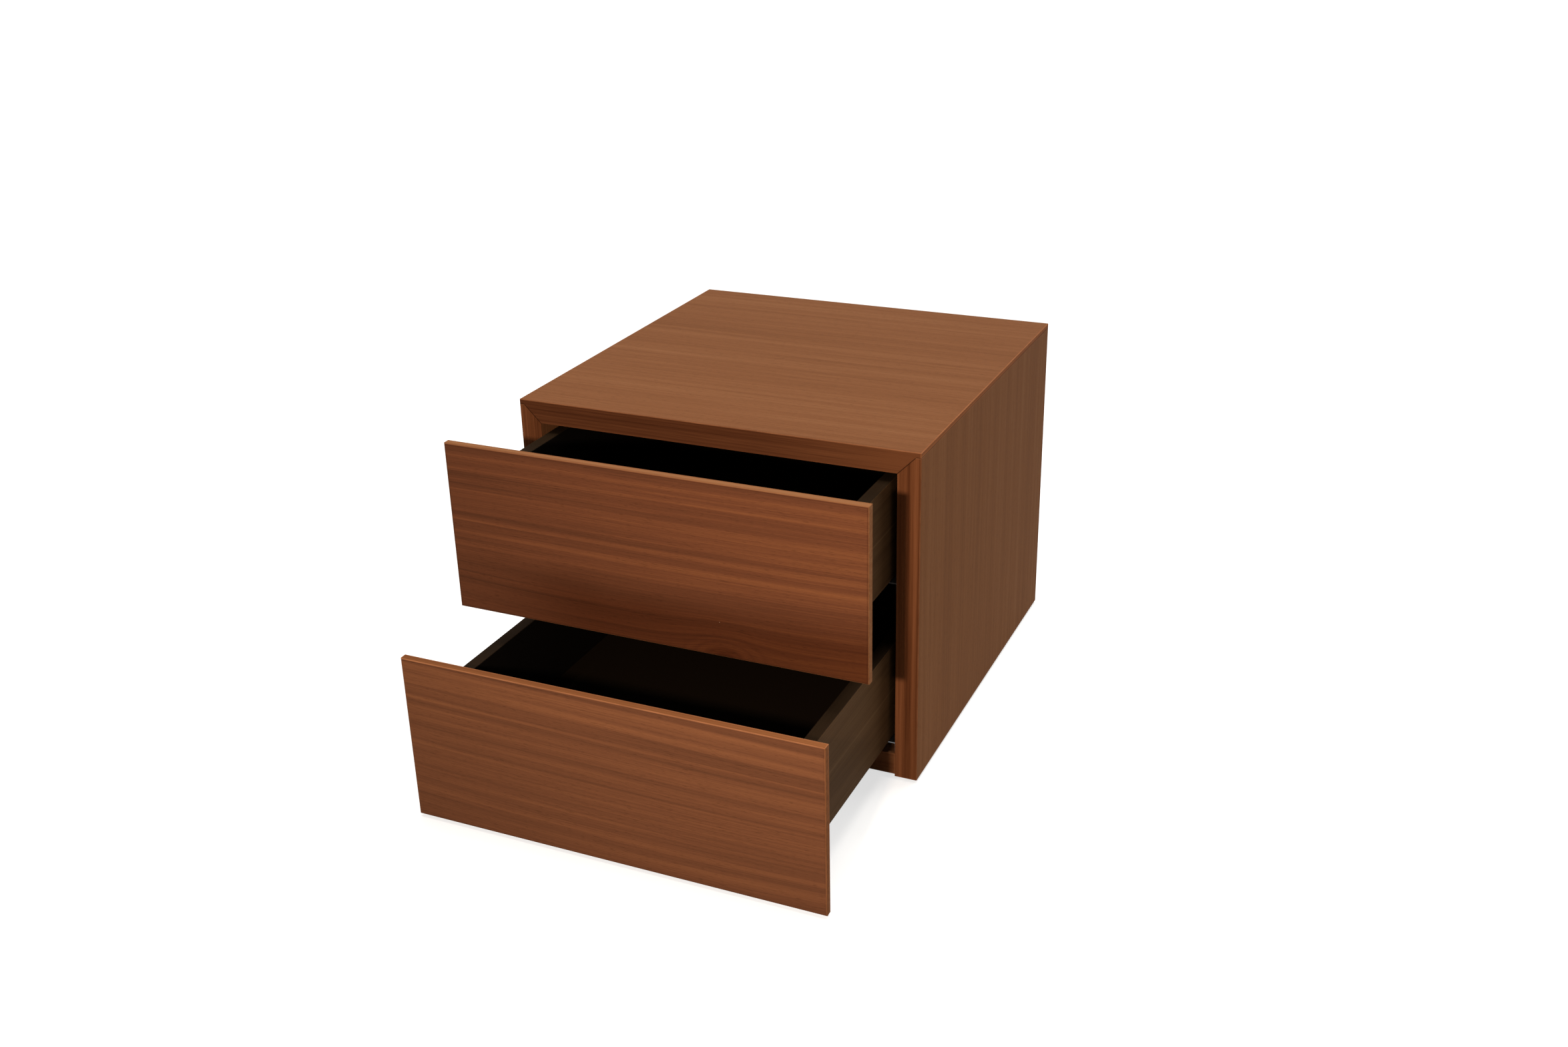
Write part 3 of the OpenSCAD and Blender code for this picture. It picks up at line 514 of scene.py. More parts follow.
def mitre_line(tree, space):
    """1 on the hairline where the top meets a side: up the mitre, then out along the lap."""
    x, y, z = add(tree, "SeparateXYZ", {0: space}, output="all")
    out = add(tree, "Math", {0: x}, operation="ABSOLUTE")
    run = add(tree, "Math", {0: out, 1: opening_half}, operation="SUBTRACT")
    rise = add(tree, "Math", {0: z, 1: opening_top}, operation="SUBTRACT")
    slope = add(tree, "Math", {0: rise, 1: run}, operation="SUBTRACT")
    below_lap = add(tree, "Math", {0: z, 1: lap_height}, operation="LESS_THAN")
    slant = add(tree, "Math", {0: near(tree, slope, 0, 0.45, 0.5), 1: below_lap}, operation="MULTIPLY")
    past_slant = add(tree, "Math", {0: run, 1: lap_height - opening_top}, operation="GREATER_THAN")
    lap = add(tree, "Math", {0: near(tree, z, lap_height, 0.35, 0.4), 1: past_slant}, operation="MULTIPLY")
    return add(tree, "Math", {0: slant, 1: lap}, operation="MAXIMUM")


print("the top laps the sides by", round(size_box("top_panel")[1].z - lap_height), "mm")

# %% [markdown]
# ## Painted highlights on the eased arrises
#
# Sharp veneer chips, so the outer arrises are eased with fine paper. A rounded arris catches the
# light, and that is painted here: a lighter colour along the outer arrises, as a painted highlight,
# stronger in some places than in others. The arrises round the opening are left crisp and get none, because
# the shut drawers cover them.

# %% Painted highlight along the arrises
def arris_highlight_place(tree, space, board, seed, reach=0.9):
    """1 along a board's outer arrises, where a highlight is painted, broken up a little in patches."""
    # Painted highlight: a board's outer arrises get a lighter colour, as where a rounded arris catches light
    count = faces_near(tree, space, board, reach, (1, 1, 1))
    arris_highlight = add(tree, "Math", {0: count, 1: 1}, operation="SUBTRACT", use_clamp=True)
    patches = add(tree, "TexNoise", {"Vector": space, "Scale": 0.03, "Detail": 3.0, "W": seed},
                  noise_dimensions="4D")
    strength = add(tree, "MapRange", {"Value": patches, "From Min": 0.3, "From Max": 0.7, "To Min": 0.35})
    return add(tree, "Math", {0: arris_highlight, 1: strength}, operation="MULTIPLY")


def clear_of_opening(tree, space):
    """0 on the arrises round the opening, which stay crisp, and 1 on the chest's outer ones."""
    x, y, z = add(tree, "SeparateXYZ", {0: space}, output="all")
    out = add(tree, "Math", {0: x}, operation="ABSOLUTE")
    beside = add(tree, "Math", {0: out, 1: opening_half + 2}, operation="GREATER_THAN")
    above = add(tree, "Math", {0: z, 1: opening_top + 2}, operation="GREATER_THAN")
    return add(tree, "Math", {0: beside, 1: above}, operation="MAXIMUM")


print("arrises round the opening stay crisp up to", round(opening_top), "mm above the floor")

# %% [markdown]
# ## Glue lines and dust
#
# Close up, a front shows a thin dark line all round its face, where the face veneer ends on the edge
# bands. A few specks of dust lie on it too. Both are small, and a surface without them looks drawn
# rather than made.

# %% Glue line and specks
def glue_line(tree, space, board, inset=1.9):
    """1 on the thin dark line where a front's face veneer meets its edge bands."""
    offset, half = from_middle(tree, space, board)
    x, y, z = add(tree, "SeparateXYZ", {0: offset}, output="all")
    from_side = add(tree, "Math", {0: half.x, 1: x}, operation="SUBTRACT")
    from_end = add(tree, "Math", {0: half.z, 1: z}, operation="SUBTRACT")
    from_edge = add(tree, "Math", {0: from_side, 1: from_end}, operation="MINIMUM")
    on_face = faces_near(tree, space, board, 0.4, (0, 1, 0))
    return add(tree, "Math", {0: near(tree, from_edge, inset, 0.2, 0.7), 1: on_face}, operation="MULTIPLY")


def specks(tree, space, seed, spacing=34, radius=0.55):
    """1 on a few specks of dust, each a little longer than wide."""
    cells = add(tree, "VectorMath", {0: space, 1: (1 / spacing, 0, 1.3 / spacing)}, operation="MULTIPLY")
    moved = add(tree, "VectorMath", {0: cells, 1: (seed, 0, 0.4 * seed)}, operation="ADD")
    distance, pick = add(tree, "TexVoronoi", {"Vector": moved, "Scale": 1.0}, output="all")[:2]
    spot = add(tree, "Math", {0: distance, 1: radius / spacing}, operation="LESS_THAN")
    few = add(tree, "Math", {0: add(tree, "SeparateXYZ", {0: pick}, output="X"), 1: 0.72},
              operation="GREATER_THAN")
    return add(tree, "Math", {0: spot, 1: few}, operation="MULTIPLY")


print("glue lines and specks go on the two fronts")

# %% [markdown]
# ## The walnut itself
#
# The tone of every scale is added up, and a ramp of three browns turns it to colour: a warm light
# brown, a middle one, and a darker, slightly purple one. Satin lacquer reflects evenly and weakly, so
# the roughness is high and the specular level is low. Pores are only about 0.1 mm wide and too fine
# to show, so they are drawn several times as wide, and faint. Fibre and pores leave a relief of a few
# hundredths of a millimetre, which breaks up the sheen.

# %% Walnut
# Each scale of the grain: a streak's width and length in mm, its detail, and its share of the tone
GRAIN_SCALES = [(42, 1300, 2, 0.40), (9, 900, 3, 0.45), (2.2, 420, 2, 0.40), (0.9, 260, 2, 0.42)]
PORE = "#3A2013"
HAIRLINE = "#2A150B"
# The colour of the painted highlight along the arrises
ARRIS_HIGHLIGHT = "#B77A52"
GLUE = "#4A2A1A"
DUST = "#D8B596"


def walnut(name, board, along, seed, tones, contrast=1.0, wave_mm=5, growth=None, slope=(0, 0), sag=(0, 0),
           drift=0, knot=None, bands=(), mitred=False, dusty=False, arris_highlight=0.5, glue=0):
    """Lays satin-lacquered walnut veneer on one board, its grain along X, Y or Z."""
    material, tree = new_material(name)
    space = in_mm(tree)
    grain = waved(tree, space, along, seed, wave_mm)
    if growth:
        grain = bent_lines(tree, grain, board, slope, sag)
    if knot:
        grain, in_knot = round_knot(tree, grain, **knot)
    fibre = streaks(tree, grain, along, 0.5, 40, seed + 5)
    layers = [(streaks(tree, grain, along, width, length, seed + number, detail), share * contrast)
              for number, (width, length, detail, share) in enumerate(GRAIN_SCALES, start=1)]
    layers.append((fibre, 0.18))
    if growth:
        layers.append((laid_out(tree, grain, board, growth), 0.5 * contrast))
    if knot:
        layers.append((add(tree, "ValToRGB", {"Fac": in_knot}, stops=KNOT_RINGS), 0.5))
    tone = layered(tree, layers)
    if drift:
        x = add(tree, "SeparateXYZ", {0: space}, output="X")
        tone = add(tree, "Math", {0: x, 1: drift / 100, 2: tone}, operation="MULTIPLY_ADD")
    colour = add(tree, "ValToRGB", {"Fac": tone}, stops=three_stops(tones))
    pores = streaks(tree, grain, along, 0.45, 8, seed + 6, detail=0)
    pores = add(tree, "MapRange", {"Value": pores, "From Min": 0.64, "From Max": 0.8, "To Max": 0.35})
    colour = add(tree, "Mix", {"Factor": pores, "A": colour, "B": linear(PORE)}, data_type="RGBA")
    if knot:
        # Painted shade on the upper front's lower part, and the knot's darker core
        colour = shaded_foot_and_knot(tree, space, colour, board, in_knot, seed)
    for band in bands:
        colour = banded(tree, space, colour, board, seed=seed + 7, **band)
    # Each mark on the veneer: where it is, how strong and in which colour
    marks = []
    highlit_arris = arris_highlight_place(tree, space, board, seed)
    if mitred:
        marks.append((mitre_line(tree, space), 0.75, HAIRLINE))
        highlit_arris = add(tree, "Math", {0: highlit_arris, 1: clear_of_opening(tree, space)}, operation="MULTIPLY")
    # Painted highlight along the outer arrises, of the given strength
    marks.append((highlit_arris, arris_highlight, ARRIS_HIGHLIGHT))
    if glue:
        marks.append((glue_line(tree, space, board), glue, GLUE))
    if dusty:
        marks.append((specks(tree, space, seed), 0.45, DUST))
    for place, strength, tint in marks:
        factor = add(tree, "Math", {0: place, 1: strength}, operation="MULTIPLY")
        colour = add(tree, "Mix", {"Factor": factor, "A": colour, "B": linear(tint)}, data_type="RGBA")
    relief = add(tree, "Math", {0: fibre, 1: pores}, operation="SUBTRACT")
    surface(tree, {"Base Color": colour, "Roughness": 0.6, "Specular IOR Level": 0.015}, relief, 0.03 * MM)
    paint(material, board)


print("widths of the grain's scales, in mm:", [scale[0] for scale in GRAIN_SCALES])

# %% [markdown]
# ## Walnut on the carcass
#
# Veneer leaves from one trunk are alike but never the same, so each board gets its own seed, and the
# sides have tones of their own. On the sides the grain runs upright, on the other boards from side to
# side. The front edges of the top, the sides and the bottom each have their own band.

# %% The five boards
CARCASS_TONES = ("#70472C", "#875839", "#996A48")
SIDE_TONES = ("#73492D", "#865836", "#966845")
EDGE_TONES = ("#562F1B", "#6D4027", "#845132")
STILE_TONES = ("#62371F", "#804D2E", "#985F3C")
LAP_TONES = ("#8A5230", "#9A5F38", "#A86B42")
FOOT_EDGE_TONES = ("#7A4629", "#8E5836", "#A06A43")
SIDE_SEEDS = {"left": 5.7, "right": 6.4}

front_edge = {"axes": (0, 1, 0), "along": "X", "tones": EDGE_TONES, "share": 0.9, "lighter_end": 0.33}
foot_edge = {"axes": (0, 1, 0), "along": "X", "tones": FOOT_EDGE_TONES, "share": 0.6}
stile_edge = {"axes": (0, 1, 0), "along": "Z", "tones": STILE_TONES, "width": 6, "share": 1.25}
lap_edge = {"axes": (1, 0, 0), "along": "Y", "tones": LAP_TONES}

walnut("walnut veneer, top", "top_panel", "X", 3.1, CARCASS_TONES, contrast=0.72,
       bands=[front_edge, lap_edge], mitred=True)
for side, seed in SIDE_SEEDS.items():
    walnut(f"walnut veneer, {side} side", f"{side}_side_panel", "Z", seed, SIDE_TONES, contrast=0.85,
           bands=[stile_edge], mitred=True)
walnut("walnut veneer, bottom", "bottom_panel", "X", 8.2, CARCASS_TONES, bands=[foot_edge])
walnut("walnut veneer, back", "back_panel", "X", 9.6, CARCASS_TONES)
print("materials so far:", len(bpy.data.materials))

# %% [markdown]
# ## Walnut on the drawer fronts
#
# The two fronts use the laid-out streaks. Their lines are bent by given slopes and sags, and
# only the upper one has the knot, which lies just below its lower edge and to the right of its
# middle. Its edge bands are lighter than its face, and the lower front gets a much stronger painted
# highlight along its arrises.

# %% The two fronts
UPPER_TONES = ("#5E3B29", "#824F35", "#A66942")
LOWER_TONES = ("#65422F", "#88573C", "#AB704A")
UPPER_BAND_TONES = ("#875739", "#966541", "#A4734D")
LOWER_BAND_TONES = ("#77492C", "#875432", "#95613B")

upper_band = {"axes": (1, 0, 1), "along": "X", "tones": UPPER_BAND_TONES, "share": 0.8}
lower_band = {**upper_band, "tones": LOWER_BAND_TONES}
upper_low = size_box("upper_drawer_front")[0]
knot = {"centre": (84, upper_low.y, upper_low.z - 3), "half_width": 50, "half_height": 27, "pull": 0.75}

# Each front's arris setting is the strength of the painted highlight along its arrises
walnut("walnut veneer, upper front", "upper_drawer_front", "X", 12.4, UPPER_TONES, contrast=0.66,
       growth=UPPER_FRONT_STREAKS, slope=(-1.5, 1.5), sag=(4, -3.5), wave_mm=3, drift=0.03,
       knot=knot, bands=[upper_band], dusty=True, arris_highlight=0.1, glue=0.4)
walnut("walnut veneer, lower front", "lower_drawer_front", "X", 14.9, LOWER_TONES, contrast=0.66,
       growth=LOWER_FRONT_STREAKS, slope=(3, 3), sag=(4, -4), wave_mm=3, bands=[lower_band],
       dusty=True, arris_highlight=0.8, glue=0.1)
print("materials so far:", len(bpy.data.materials))

# %% [markdown]
# ## Dark woodgrain laminate
#
# The drawer boxes are board with a dark brown printed laminate, pressed with a faint grain. The outer
# faces are an olive brown with one lighter streak at mid height, and the inside is a brown that is
# almost black. The top faces are painted a dark brown as painted shade, as the lower drawer's wall
# tops lie in the upper drawer's shadow. Print and press share one grain, so the lines that give the
# colour also give the relief.

# %% Laminate
# A dark brown painted on the boxes' top faces as painted shade
SHADED_TOP_EDGE = "#231A11"
INNER_FACE = "#14100D"


def laminate(name, board, along, seed, tones, inner_axis=None, streak_height=None):
    """Printed laminate with a pressed grain, painted shade on the top face, near-black on a wall's inner
    face.
    """
    material, tree = new_material(name)
    space = in_mm(tree)
    grain = waved(tree, space, along, seed, 4)
    lines = streaks(tree, grain, along, 1.6, 120, seed + 2)
    tone = layered(tree, [(streaks(tree, grain, along, 16, 700, seed + 1, detail=3), 0.6), (lines, 0.45)])
    if streak_height:
        z = add(tree, "SeparateXYZ", {0: grain}, output="Z")
        light_streak = near(tree, z, streak_height, 0.4, 1.5)
        tone = add(tree, "Math", {0: light_streak, 1: 0.28, 2: tone}, operation="MULTIPLY_ADD")
    colour = add(tree, "ValToRGB", {"Fac": tone}, stops=three_stops(tones))
    low, high = size_box(board)
    # Painted shade: the board's top face is mixed towards one dark brown
    shaded_top = near(tree, add(tree, "SeparateXYZ", {0: space}, output="Z"), high.z, 0.3, 0.1)
    shaded_top = add(tree, "Math", {0: shaded_top, 1: 0.9}, operation="MULTIPLY")
    colour = add(tree, "Mix", {"Factor": shaded_top, "A": colour, "B": linear(SHADED_TOP_EDGE)}, data_type="RGBA")
    if inner_axis:
        across = add(tree, "SeparateXYZ", {0: space}, output=inner_axis)
        number = AXES.index(inner_axis)
        inner = low[number] if low[number] > 0 else high[number]
        inside = near(tree, across, inner, 0.3, 0.1)
        colour = add(tree, "Mix", {"Factor": inside, "A": colour, "B": linear(INNER_FACE)}, data_type="RGBA")
    surface(tree, {"Base Color": colour, "Roughness": 0.6, "Specular IOR Level": 0.015}, lines, 0.05 * MM)
    paint(material, board)


print("the laminate's inner face is", INNER_FACE)

# %% [markdown]
# ## The drawer boxes
#
# Both boxes are made alike: two walls, a front and a back between them, and a bottom in grooves. The
# walls' outer faces are seen past the fronts, so only they get the lighter tones and the streak.

# %% Laminate on the boxes
HEIGHTS = ("upper", "lower")
SIDES = ("left", "right")
WALL_TONES = ("#45301E", "#533C26", "#624931")
END_TONES = ("#0F0E0D", "#151211", "#1C1817")
STREAK_ABOVE_MIDDLE = 4

for height in HEIGHTS:
    for side in SIDES:
        wall = f"{height}_box_{side}_side"
        low, high = size_box(wall)
        laminate(f"woodgrain laminate, {height} {side} wall", wall, "Y", 21.3 + len(wall), WALL_TONES,
                 inner_axis="X", streak_height=(low.z + high.z) / 2 + STREAK_ABOVE_MIDDLE)
    for end, along in (("front", "X"), ("back", "X"), ("bottom", "Y")):
        board = f"{height}_box_{end}"
        laminate(f"woodgrain laminate, {height} {end}", board, along, 23.8 + len(board), END_TONES)
print("materials so far:", len(bpy.data.materials))

# %% [markdown]
# ## Zinc-plated strip and bright steel
#
# The runners are rolled from steel strip and zinc plated. Rolling draws faint lines along the strip,
# and the plating is cloudy in patches. Rollers, screws and nails are turned or headed from bright
# steel, and the tool leaves fine rings round the axis, which catch the light. A ring is a streak that
# is very short along the axis, so one finish with other numbers makes both metals. Tone and roughness
# follow the same patterns: a darker place is also duller. On bare metal the metallic value is 1.

# %% Metals
ZINC_TONES = ("#66696B", "#7C7E80", "#8E8F8C")
STEEL_TONES = ("#9A9B9C", "#B7B8B8", "#CFCFCB")


def bare_metal(name, marks, clouds, shares, tones, rough, relief):
    """Bare metal: marks are streaks in mm, clouds a noise, and each shows by its share."""
    material, tree = new_material(name)
    space = in_mm(tree)
    lines = streaks(tree, space, **marks)
    patches = add(tree, "TexNoise", {"Vector": space, **clouds})
    tone = layered(tree, [(patches, shares[1]), (lines, shares[0])])
    colour = add(tree, "ValToRGB", {"Fac": tone}, stops=three_stops(tones, reach=0.25))
    roughness = add(tree, "MapRange", {"Value": tone, "From Min": 0.2, "From Max": 0.8,
                                       "To Min": rough[0], "To Max": rough[1]})
    surface(tree, {"Base Color": colour, "Metallic": 1.0, "Roughness": roughness}, lines, relief * MM)
    return material


rolled = {"along": "Y", "width": 0.5, "length": 45, "seed": 31.7}
zinc = bare_metal("zinc-plated steel strip, rolled", rolled, {"Scale": 0.045, "Detail": 4.0}, (0.6, 1.2),
                  ZINC_TONES, rough=(0.44, 0.3), relief=0.02)
steel_along = {}
for axis in AXES:
    rings = {"along": axis, "width": 7, "length": 0.35, "seed": 33.1}
    name = f"bright steel, turned along {axis}"
    steel_along[axis] = bare_metal(name, rings, {"Scale": 0.3, "Detail": 3.0}, (0.8, 0.8), STEEL_TONES,
                                   rough=(0.34, 0.2), relief=0.01)
print("made:", zinc.name, "and", len(steel_along), "steels")

# %% [markdown]
# ## Moulded nylon
#
# Glides and latch housings are black nylon, and roller cages and plungers natural nylon, which is a
# warm off-white. Both are moulded in spark-eroded steel, which leaves a fine sandy texture and a soft
# gloss, and the melt leaves faint flow marks. The refractive index is that of nylon.

# %% Black and natural nylon
def moulded_nylon(name, tones, roughness):
    """Nylon with the fine sandy texture of a spark-eroded mould and faint flow marks."""
    material, tree = new_material(name)
    space = in_mm(tree)
    sand = add(tree, "TexNoise", {"Vector": space, "Scale": 2.2, "Detail": 2.0})
    flow = add(tree, "TexNoise", {"Vector": space, "Scale": 0.12, "Detail": 2.0, "Distortion": 1.2})
    tone = layered(tree, [(sand, 0.6), (flow, 1.0)])
    colour = add(tree, "ValToRGB", {"Fac": tone}, stops=three_stops(tones, reach=0.25))
    surface(tree, {"Base Color": colour, "Roughness": roughness, "IOR": 1.53}, sand, 0.04 * MM)
    return material


black_nylon = moulded_nylon("black nylon, moulded", ("#161617", "#1D1D1F", "#27272A"), 0.5)
pale_nylon = moulded_nylon("natural nylon, moulded", ("#CFC9B8", "#DAD5C6", "#E4E0D3"), 0.38)
print("made:", black_nylon.name, "and", pale_nylon.name)

# %% [markdown]
# ## Beech
#
# Dowels and tongues are plain beech without a finish. What tells beech from other pale woods is its
# flecks: short, darker and half a millimetre wide. They are the same kind of streak as walnut's, only
# very short, over faint long lines.

# %% Beech along and across
BEECH_TONES = ("#B98C5E", "#CFA878", "#DDBB8E")


def planed_beech(name, along):
    """Beech with its short darker flecks, about 0.5 mm wide and 2 mm long."""
    material, tree = new_material(name)
    space = in_mm(tree)
    flecks = streaks(tree, space, along, 0.5, 2.0, 41.3, detail=0)
    flecks = add(tree, "MapRange", {"Value": flecks, "From Min": 0.6, "From Max": 0.75, "To Max": 0.7})
    lines = streaks(tree, space, along, 2.5, 120, 42.6)
    colour = add(tree, "ValToRGB", {"Fac": lines}, stops=three_stops(BEECH_TONES, reach=0.2))
    colour = add(tree, "Mix", {"Factor": flecks, "A": colour, "B": linear("#9A6B42")}, data_type="RGBA")
    surface(tree, {"Base Color": colour, "Roughness": 0.62, "Specular IOR Level": 0.3}, lines, 0.05 * MM)
    return material


beech_across = planed_beech("beech dowels, grain across the chest", "X")
beech_deep = planed_beech("beech tongues, grain along the depth", "Y")
print("made:", beech_across.name, "and", beech_deep.name)

# %% [markdown]
# ## The fittings
#
# Each fitting takes the finish that it has on a real chest. A part of the runner that no one sees
# when the drawers are shut shows when they are open, so nothing is left out.

# %% Painting the fittings
for height in HEIGHTS:
    for side in SIDES:
        paint(zinc, *[f"{height}_{side}_{rail}_rail" for rail in ("cabinet", "drawer", "middle")])
    paint(pale_nylon, f"{height}_cabinet_roller_cages", f"{height}_drawer_roller_cages",
          f"{height}_latch_plunger")
    paint(steel_along["X"], f"{height}_cabinet_rollers", f"{height}_drawer_rollers")
    paint(beech_across, f"{height}_box_dowels")
paint(black_nylon, "floor_glides", "latch_housings")
paint(beech_across, "bottom_dowels")
paint(beech_deep, "mitre_tongues")
paint(steel_along["Z"], "glide_nails")
print("materials in all:", len(bpy.data.materials))

# %% [markdown]
# ## Where the screws are
#
# The frame already has a plain solid for every screw, so it also knows their places and sizes. A node
# holds several screws in one mesh. Corners that share a face belong to one solid, and following them
# from face to face sorts the mesh into its screws.

# %% Places of the screws
def solids_in(node):
    """The lowest and highest corners of every separate solid in a node, in millimetres."""
    mesh = nodes[node].data
    corners = [tuple(round(c, 6) for c in vertex.co) for vertex in mesh.vertices]
    leader = {corner: corner for corner in corners}

    def lead(corner):
        while leader[corner] != corner:
            leader[corner] = leader[leader[corner]]
            corner = leader[corner]
        return corner

    for face in mesh.polygons:
        first, *others = [lead(corners[i]) for i in face.vertices]
        for other in others:
            leader[lead(other)] = lead(first)
    groups = {}
    for corner in leader:
        groups.setdefault(lead(corner), []).append(Vector(corner) / MM)
    return [(Vector(map(min, *group)), Vector(map(max, *group))) for group in groups.values()]


print("back panel screws:", len(solids_in("back_panel_screws")))

# %% [markdown]
# ## A profile and a spin
#
# A screw is a turned part, so it is made as on a lathe: half of its outline is drawn by extruding one
# point step by step, from the middle of the head down the thread to the tip, and spun round the axis.
# The spin leaves a seam and two poles, which are merged, and its normals are turned outwards.

# %% Drawing and spinning
def draw_profile(points):
    """A line of edges through points of (radius, height) in millimetres, in the XZ plane."""
    bpy.ops.object.select_all(action="DESELECT")
    bpy.ops.mesh.primitive_plane_add(size=MM, location=(0, 0, 0))
    bpy.ops.object.mode_set(mode="EDIT")
    bpy.ops.mesh.merge(type="CENTER")
    radius, height = points[0]
    bpy.ops.transform.translate(value=(radius * MM, 0, height * MM))
    for (r, z), (next_r, next_z) in zip(points, points[1:]):
        step = ((next_r - r) * MM, 0, (next_z - z) * MM)
        bpy.ops.mesh.extrude_region_move(TRANSFORM_OT_translate={"value": step})


def spin_closed(steps):
    """Spins the drawn profile once round Z and closes it at the poles and the seam."""
    bpy.ops.mesh.select_all(action="SELECT")
    bpy.ops.mesh.spin(steps=steps, angle=2 * math.pi, center=(0, 0, 0), axis=(0, 0, 1))
    bpy.ops.mesh.select_all(action="SELECT")
    bpy.ops.mesh.remove_doubles(threshold=0.01 * MM)
    bpy.ops.mesh.normals_make_consistent(inside=False)
    bpy.ops.object.mode_set(mode="OBJECT")
    return bpy.context.active_object


print("a profile is drawn in the XZ plane and spun round Z")

# %% [markdown]
# ## The driver recess
#
# A cross recess is punched with a tapered tool. Here two tapered bars, at right angles, are cut out
# of the head. A bar is a cube whose foot is drawn in, and a Boolean modifier does the cutting.

# %% Cutting a cross
OVER_HEAD = 0.5


def tapered_bar(length, width, depth, turn):
    """One bar of a cross recess: narrower at its foot, sunk from the head's top."""
    bpy.ops.object.select_all(action="DESELECT")
    middle = (OVER_HEAD - depth) / 2
    bpy.ops.mesh.primitive_cube_add(size=MM, location=(0, 0, middle * MM),
                                    scale=(length, width, depth + OVER_HEAD))
    bpy.ops.object.transform_apply(location=True, rotation=True, scale=True)
    bar = bpy.context.active_object
    bpy.ops.object.mode_set(mode="EDIT")
    bpy.ops.mesh.select_all(action="DESELECT")
    bpy.ops.object.mode_set(mode="OBJECT")
    for face in bar.data.polygons:
        face.select = face.normal.z < -0.9
    bpy.ops.object.mode_set(mode="EDIT")
    bpy.ops.transform.resize(value=(0.42, 0.7, 1))
    bpy.ops.object.mode_set(mode="OBJECT")
    bar.rotation_euler.z = turn
    bpy.ops.object.transform_apply(location=False, rotation=True, scale=False)
    return bar


def cut_away(body, tool):
    """Cuts one shape out of another and throws the tool away."""
    bpy.ops.object.select_all(action="DESELECT")
    body.select_set(True)
    bpy.context.view_layer.objects.active = body
    cut = body.modifiers.new("recess", "BOOLEAN")
    cut.operation = "DIFFERENCE"
    cut.solver = "EXACT"
    cut.object = tool
    bpy.ops.object.modifier_apply(modifier="recess")
    bpy.data.objects.remove(tool)


print("a bar stands", OVER_HEAD, "mm over the head, so that the cut is clean")

# %% [markdown]
# ## One screw
#
# Some of the chest's screws are sunk flush and have a conical head, others have a pan head. The
# thread is a row of ridges 1.4 mm apart: at this size nobody can tell them from a helix, and they
# need far fewer faces. With 24 steps to a turn the heads look round close up.

# %% Turning one screw
SCREW_STEPS = 24
THREAD_PITCH = 1.4
# Height of the straight rim over the cone of a flush head, in mm
RIM = 0.35
# The crown of a pan head: shares of the head's diameter and of the pan's height
PAN_CROWN = [(0, 0), (0.22, 0.02), (0.38, 0.2), (0.47, 0.5), (0.5, 0.8), (0.5, 1)]


def turned_screw(length, shank, head, pan):
    """A screw with its head's top at z = 0 and its tip pointing down, in millimetres."""
    if pan:
        crown = [(out * head, -down * pan) for out, down in PAN_CROWN] + [(0.5 * shank, -pan)]
    else:
        cone = (head - shank) / 2
        crown = [(0, 0), (0.47 * head, 0), (0.5 * head, -0.15), (0.5 * head, -RIM),
                 (0.5 * shank, -RIM - cone)]
    start = -crown[-1][1] + 0.25 * (length + crown[-1][1])
    end = length - 0.9 * shank
    turns = max(3, round((end - start) / THREAD_PITCH))
    pitch = (end - start) / turns
    thread = [(0.5 * shank, -start + 0.4)]
    for turn in range(turns):
        z = -start - turn * pitch
        thread += [(0.36 * shank, z), (0.36 * shank, z - 0.45 * pitch), (0.5 * shank, z - 0.72 * pitch)]
    draw_profile(crown + thread + [(0.33 * shank, -end), (0.12 * shank, -length + 0.3), (0, -length)])
    screw = spin_closed(SCREW_STEPS)
    depth = 0.3 * head if not pan else 0.75 * pan
    for turn in (0, math.pi / 2):
        cut_away(screw, tapered_bar(0.56 * head, 0.14 * head, depth, turn))
    bpy.ops.object.select_all(action="DESELECT")
    screw.select_set(True)
    bpy.context.view_layer.objects.active = screw
    bpy.ops.object.shade_smooth_by_angle(angle=math.radians(35))
    return screw


print("ridges", THREAD_PITCH, "mm apart, spun in", SCREW_STEPS, "steps")

# %% [markdown]
# ## Driving the screws
#
# One screw of each kind is modelled and copied, each copy with its own mesh, turned so that its tip
# points the way it is driven, and set with its head where the frame's solid has its head. The copies
# of one node then become one piece, which stands for that node and rides on the same body. Each screw
# is also turned a little further than the last, as no two recesses end up in line.

# %% Driving the screws of one node
NEXT_TURN = 0.7


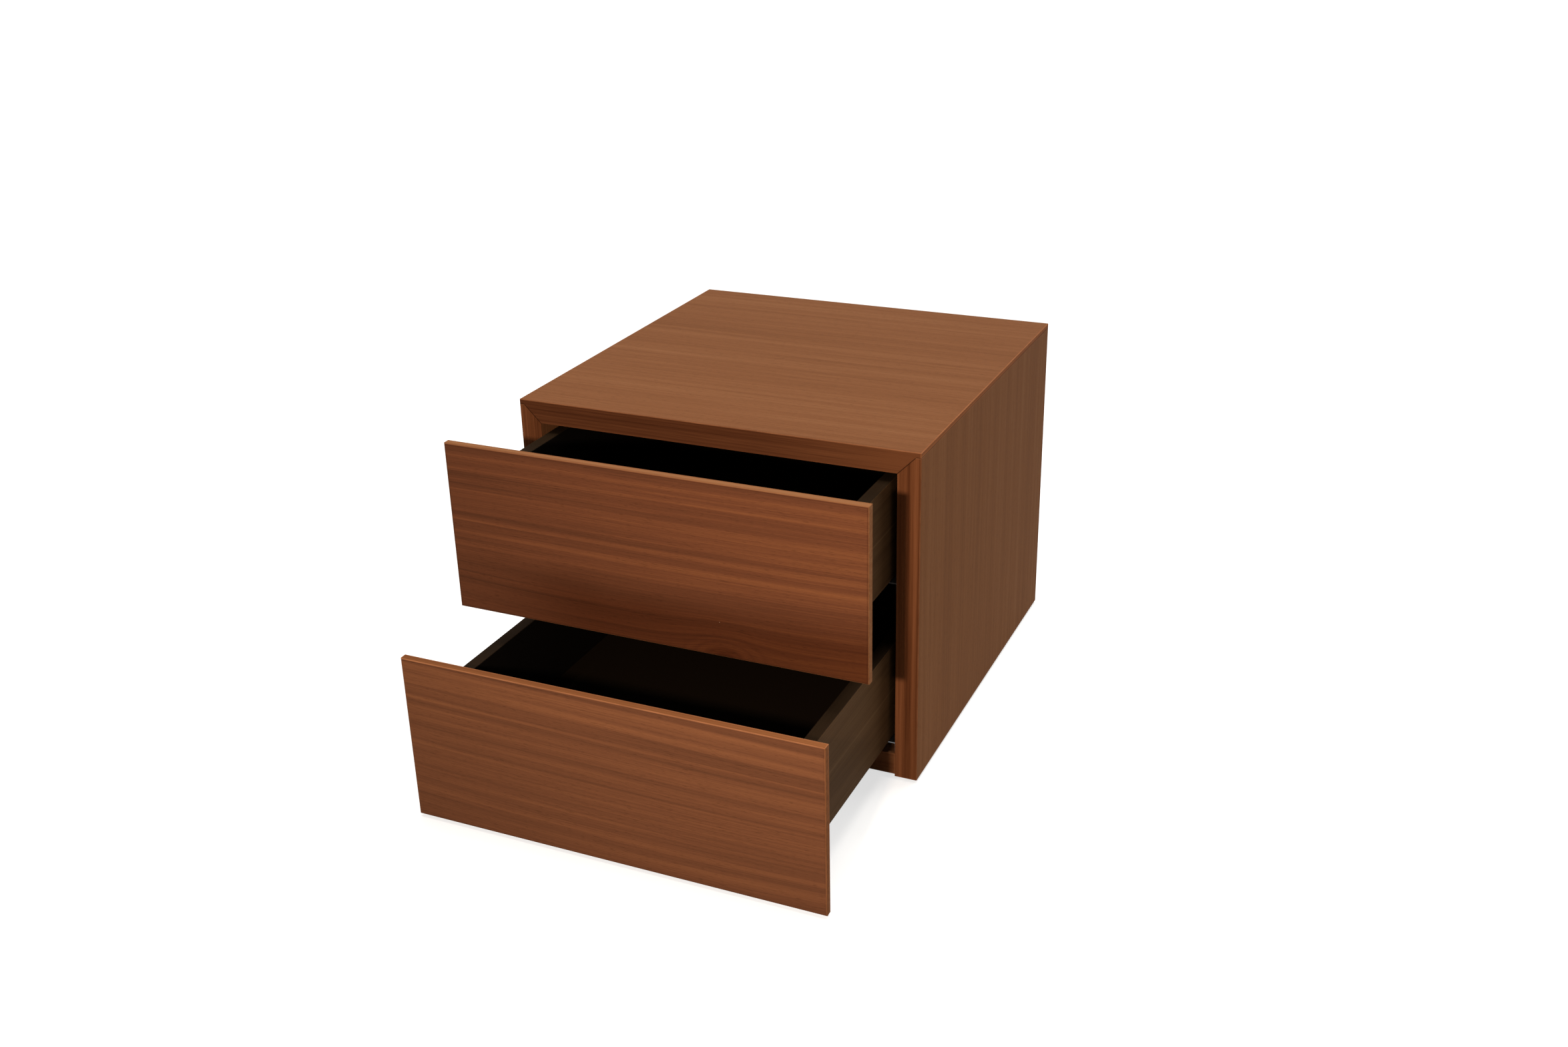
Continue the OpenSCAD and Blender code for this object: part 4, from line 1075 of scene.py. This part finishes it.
def drive(node, body, tip, shank, pan):
    """Models the screws of one node. tip gives the direction of a screw's tip from its middle.

    shank is the thread's diameter and pan the height of a pan head, both in mm, or None if flush.
    """
    places = solids_in(node)
    low, high = places[0]
    size = high - low
    axis = max(range(3), key=lambda i: abs(tip(low)[i]))
    head = (size[(axis + 1) % 3] + size[(axis + 2) % 3]) / 2
    pattern = turned_screw(size[axis], shank, head, pan)
    copies = []
    for number, (low, high) in enumerate(places):
        way = Vector(tip((low + high) / 2))
        screw = bpy.data.objects.new(f"{node}_{number}", pattern.data.copy())
        bpy.context.scene.collection.objects.link(screw)
        head_top = (low + high) / 2 - way * size[axis] / 2
        turn = Matrix.Rotation(NEXT_TURN * number, 4, "Z")
        aim = (-way).to_track_quat("Z", "Y").to_matrix().to_4x4()
        screw.matrix_world = Matrix.Translation(head_top * MM) @ aim @ turn
        copies.append(screw)
    bpy.data.objects.remove(pattern)
    bpy.ops.object.select_all(action="DESELECT")
    for screw in copies:
        screw.select_set(True)
    bpy.context.view_layer.objects.active = copies[0]
    bpy.ops.object.transform_apply(location=True, rotation=True, scale=True)
    bpy.ops.object.join()
    piece = bpy.context.active_object
    piece.name = f"turned_{node}"
    piece.data.materials.clear()
    piece.data.materials.append(steel_along[AXES[axis]])
    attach(piece, body)
    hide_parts(node)
    print(piece.name, len(places), "screws,", len(piece.data.polygons), "faces")


def outwards(middle):
    """From the middle of the chest to its nearer side."""
    return (math.copysign(1, middle.x), 0, 0)


print("a screw on the left is driven towards", outwards(Vector((-1, 0, 0))))

# %% [markdown]
# ## All screws
#
# The back panel's screws are driven forwards, those of the rails and latches outwards into the sides,
# those of the fronts forwards through the box, and those of the drawer rails up into the drawer.

# %% Every screw in its place
drive("back_panel_screws", "carcass", lambda middle: (0, -1, 0), 3.5, None)
drive("cabinet_rail_screws", "carcass", outwards, 6, 2)
drive("latch_screws", "carcass", outwards, 3.5, 2)
for height in HEIGHTS:
    drive(f"{height}_front_screws", f"{height}_drawer", lambda middle: (0, -1, 0), 4, None)
    drive(f"{height}_drawer_rail_screws", f"{height}_drawer", lambda middle: (0, 0, 1), 3.5, 2)
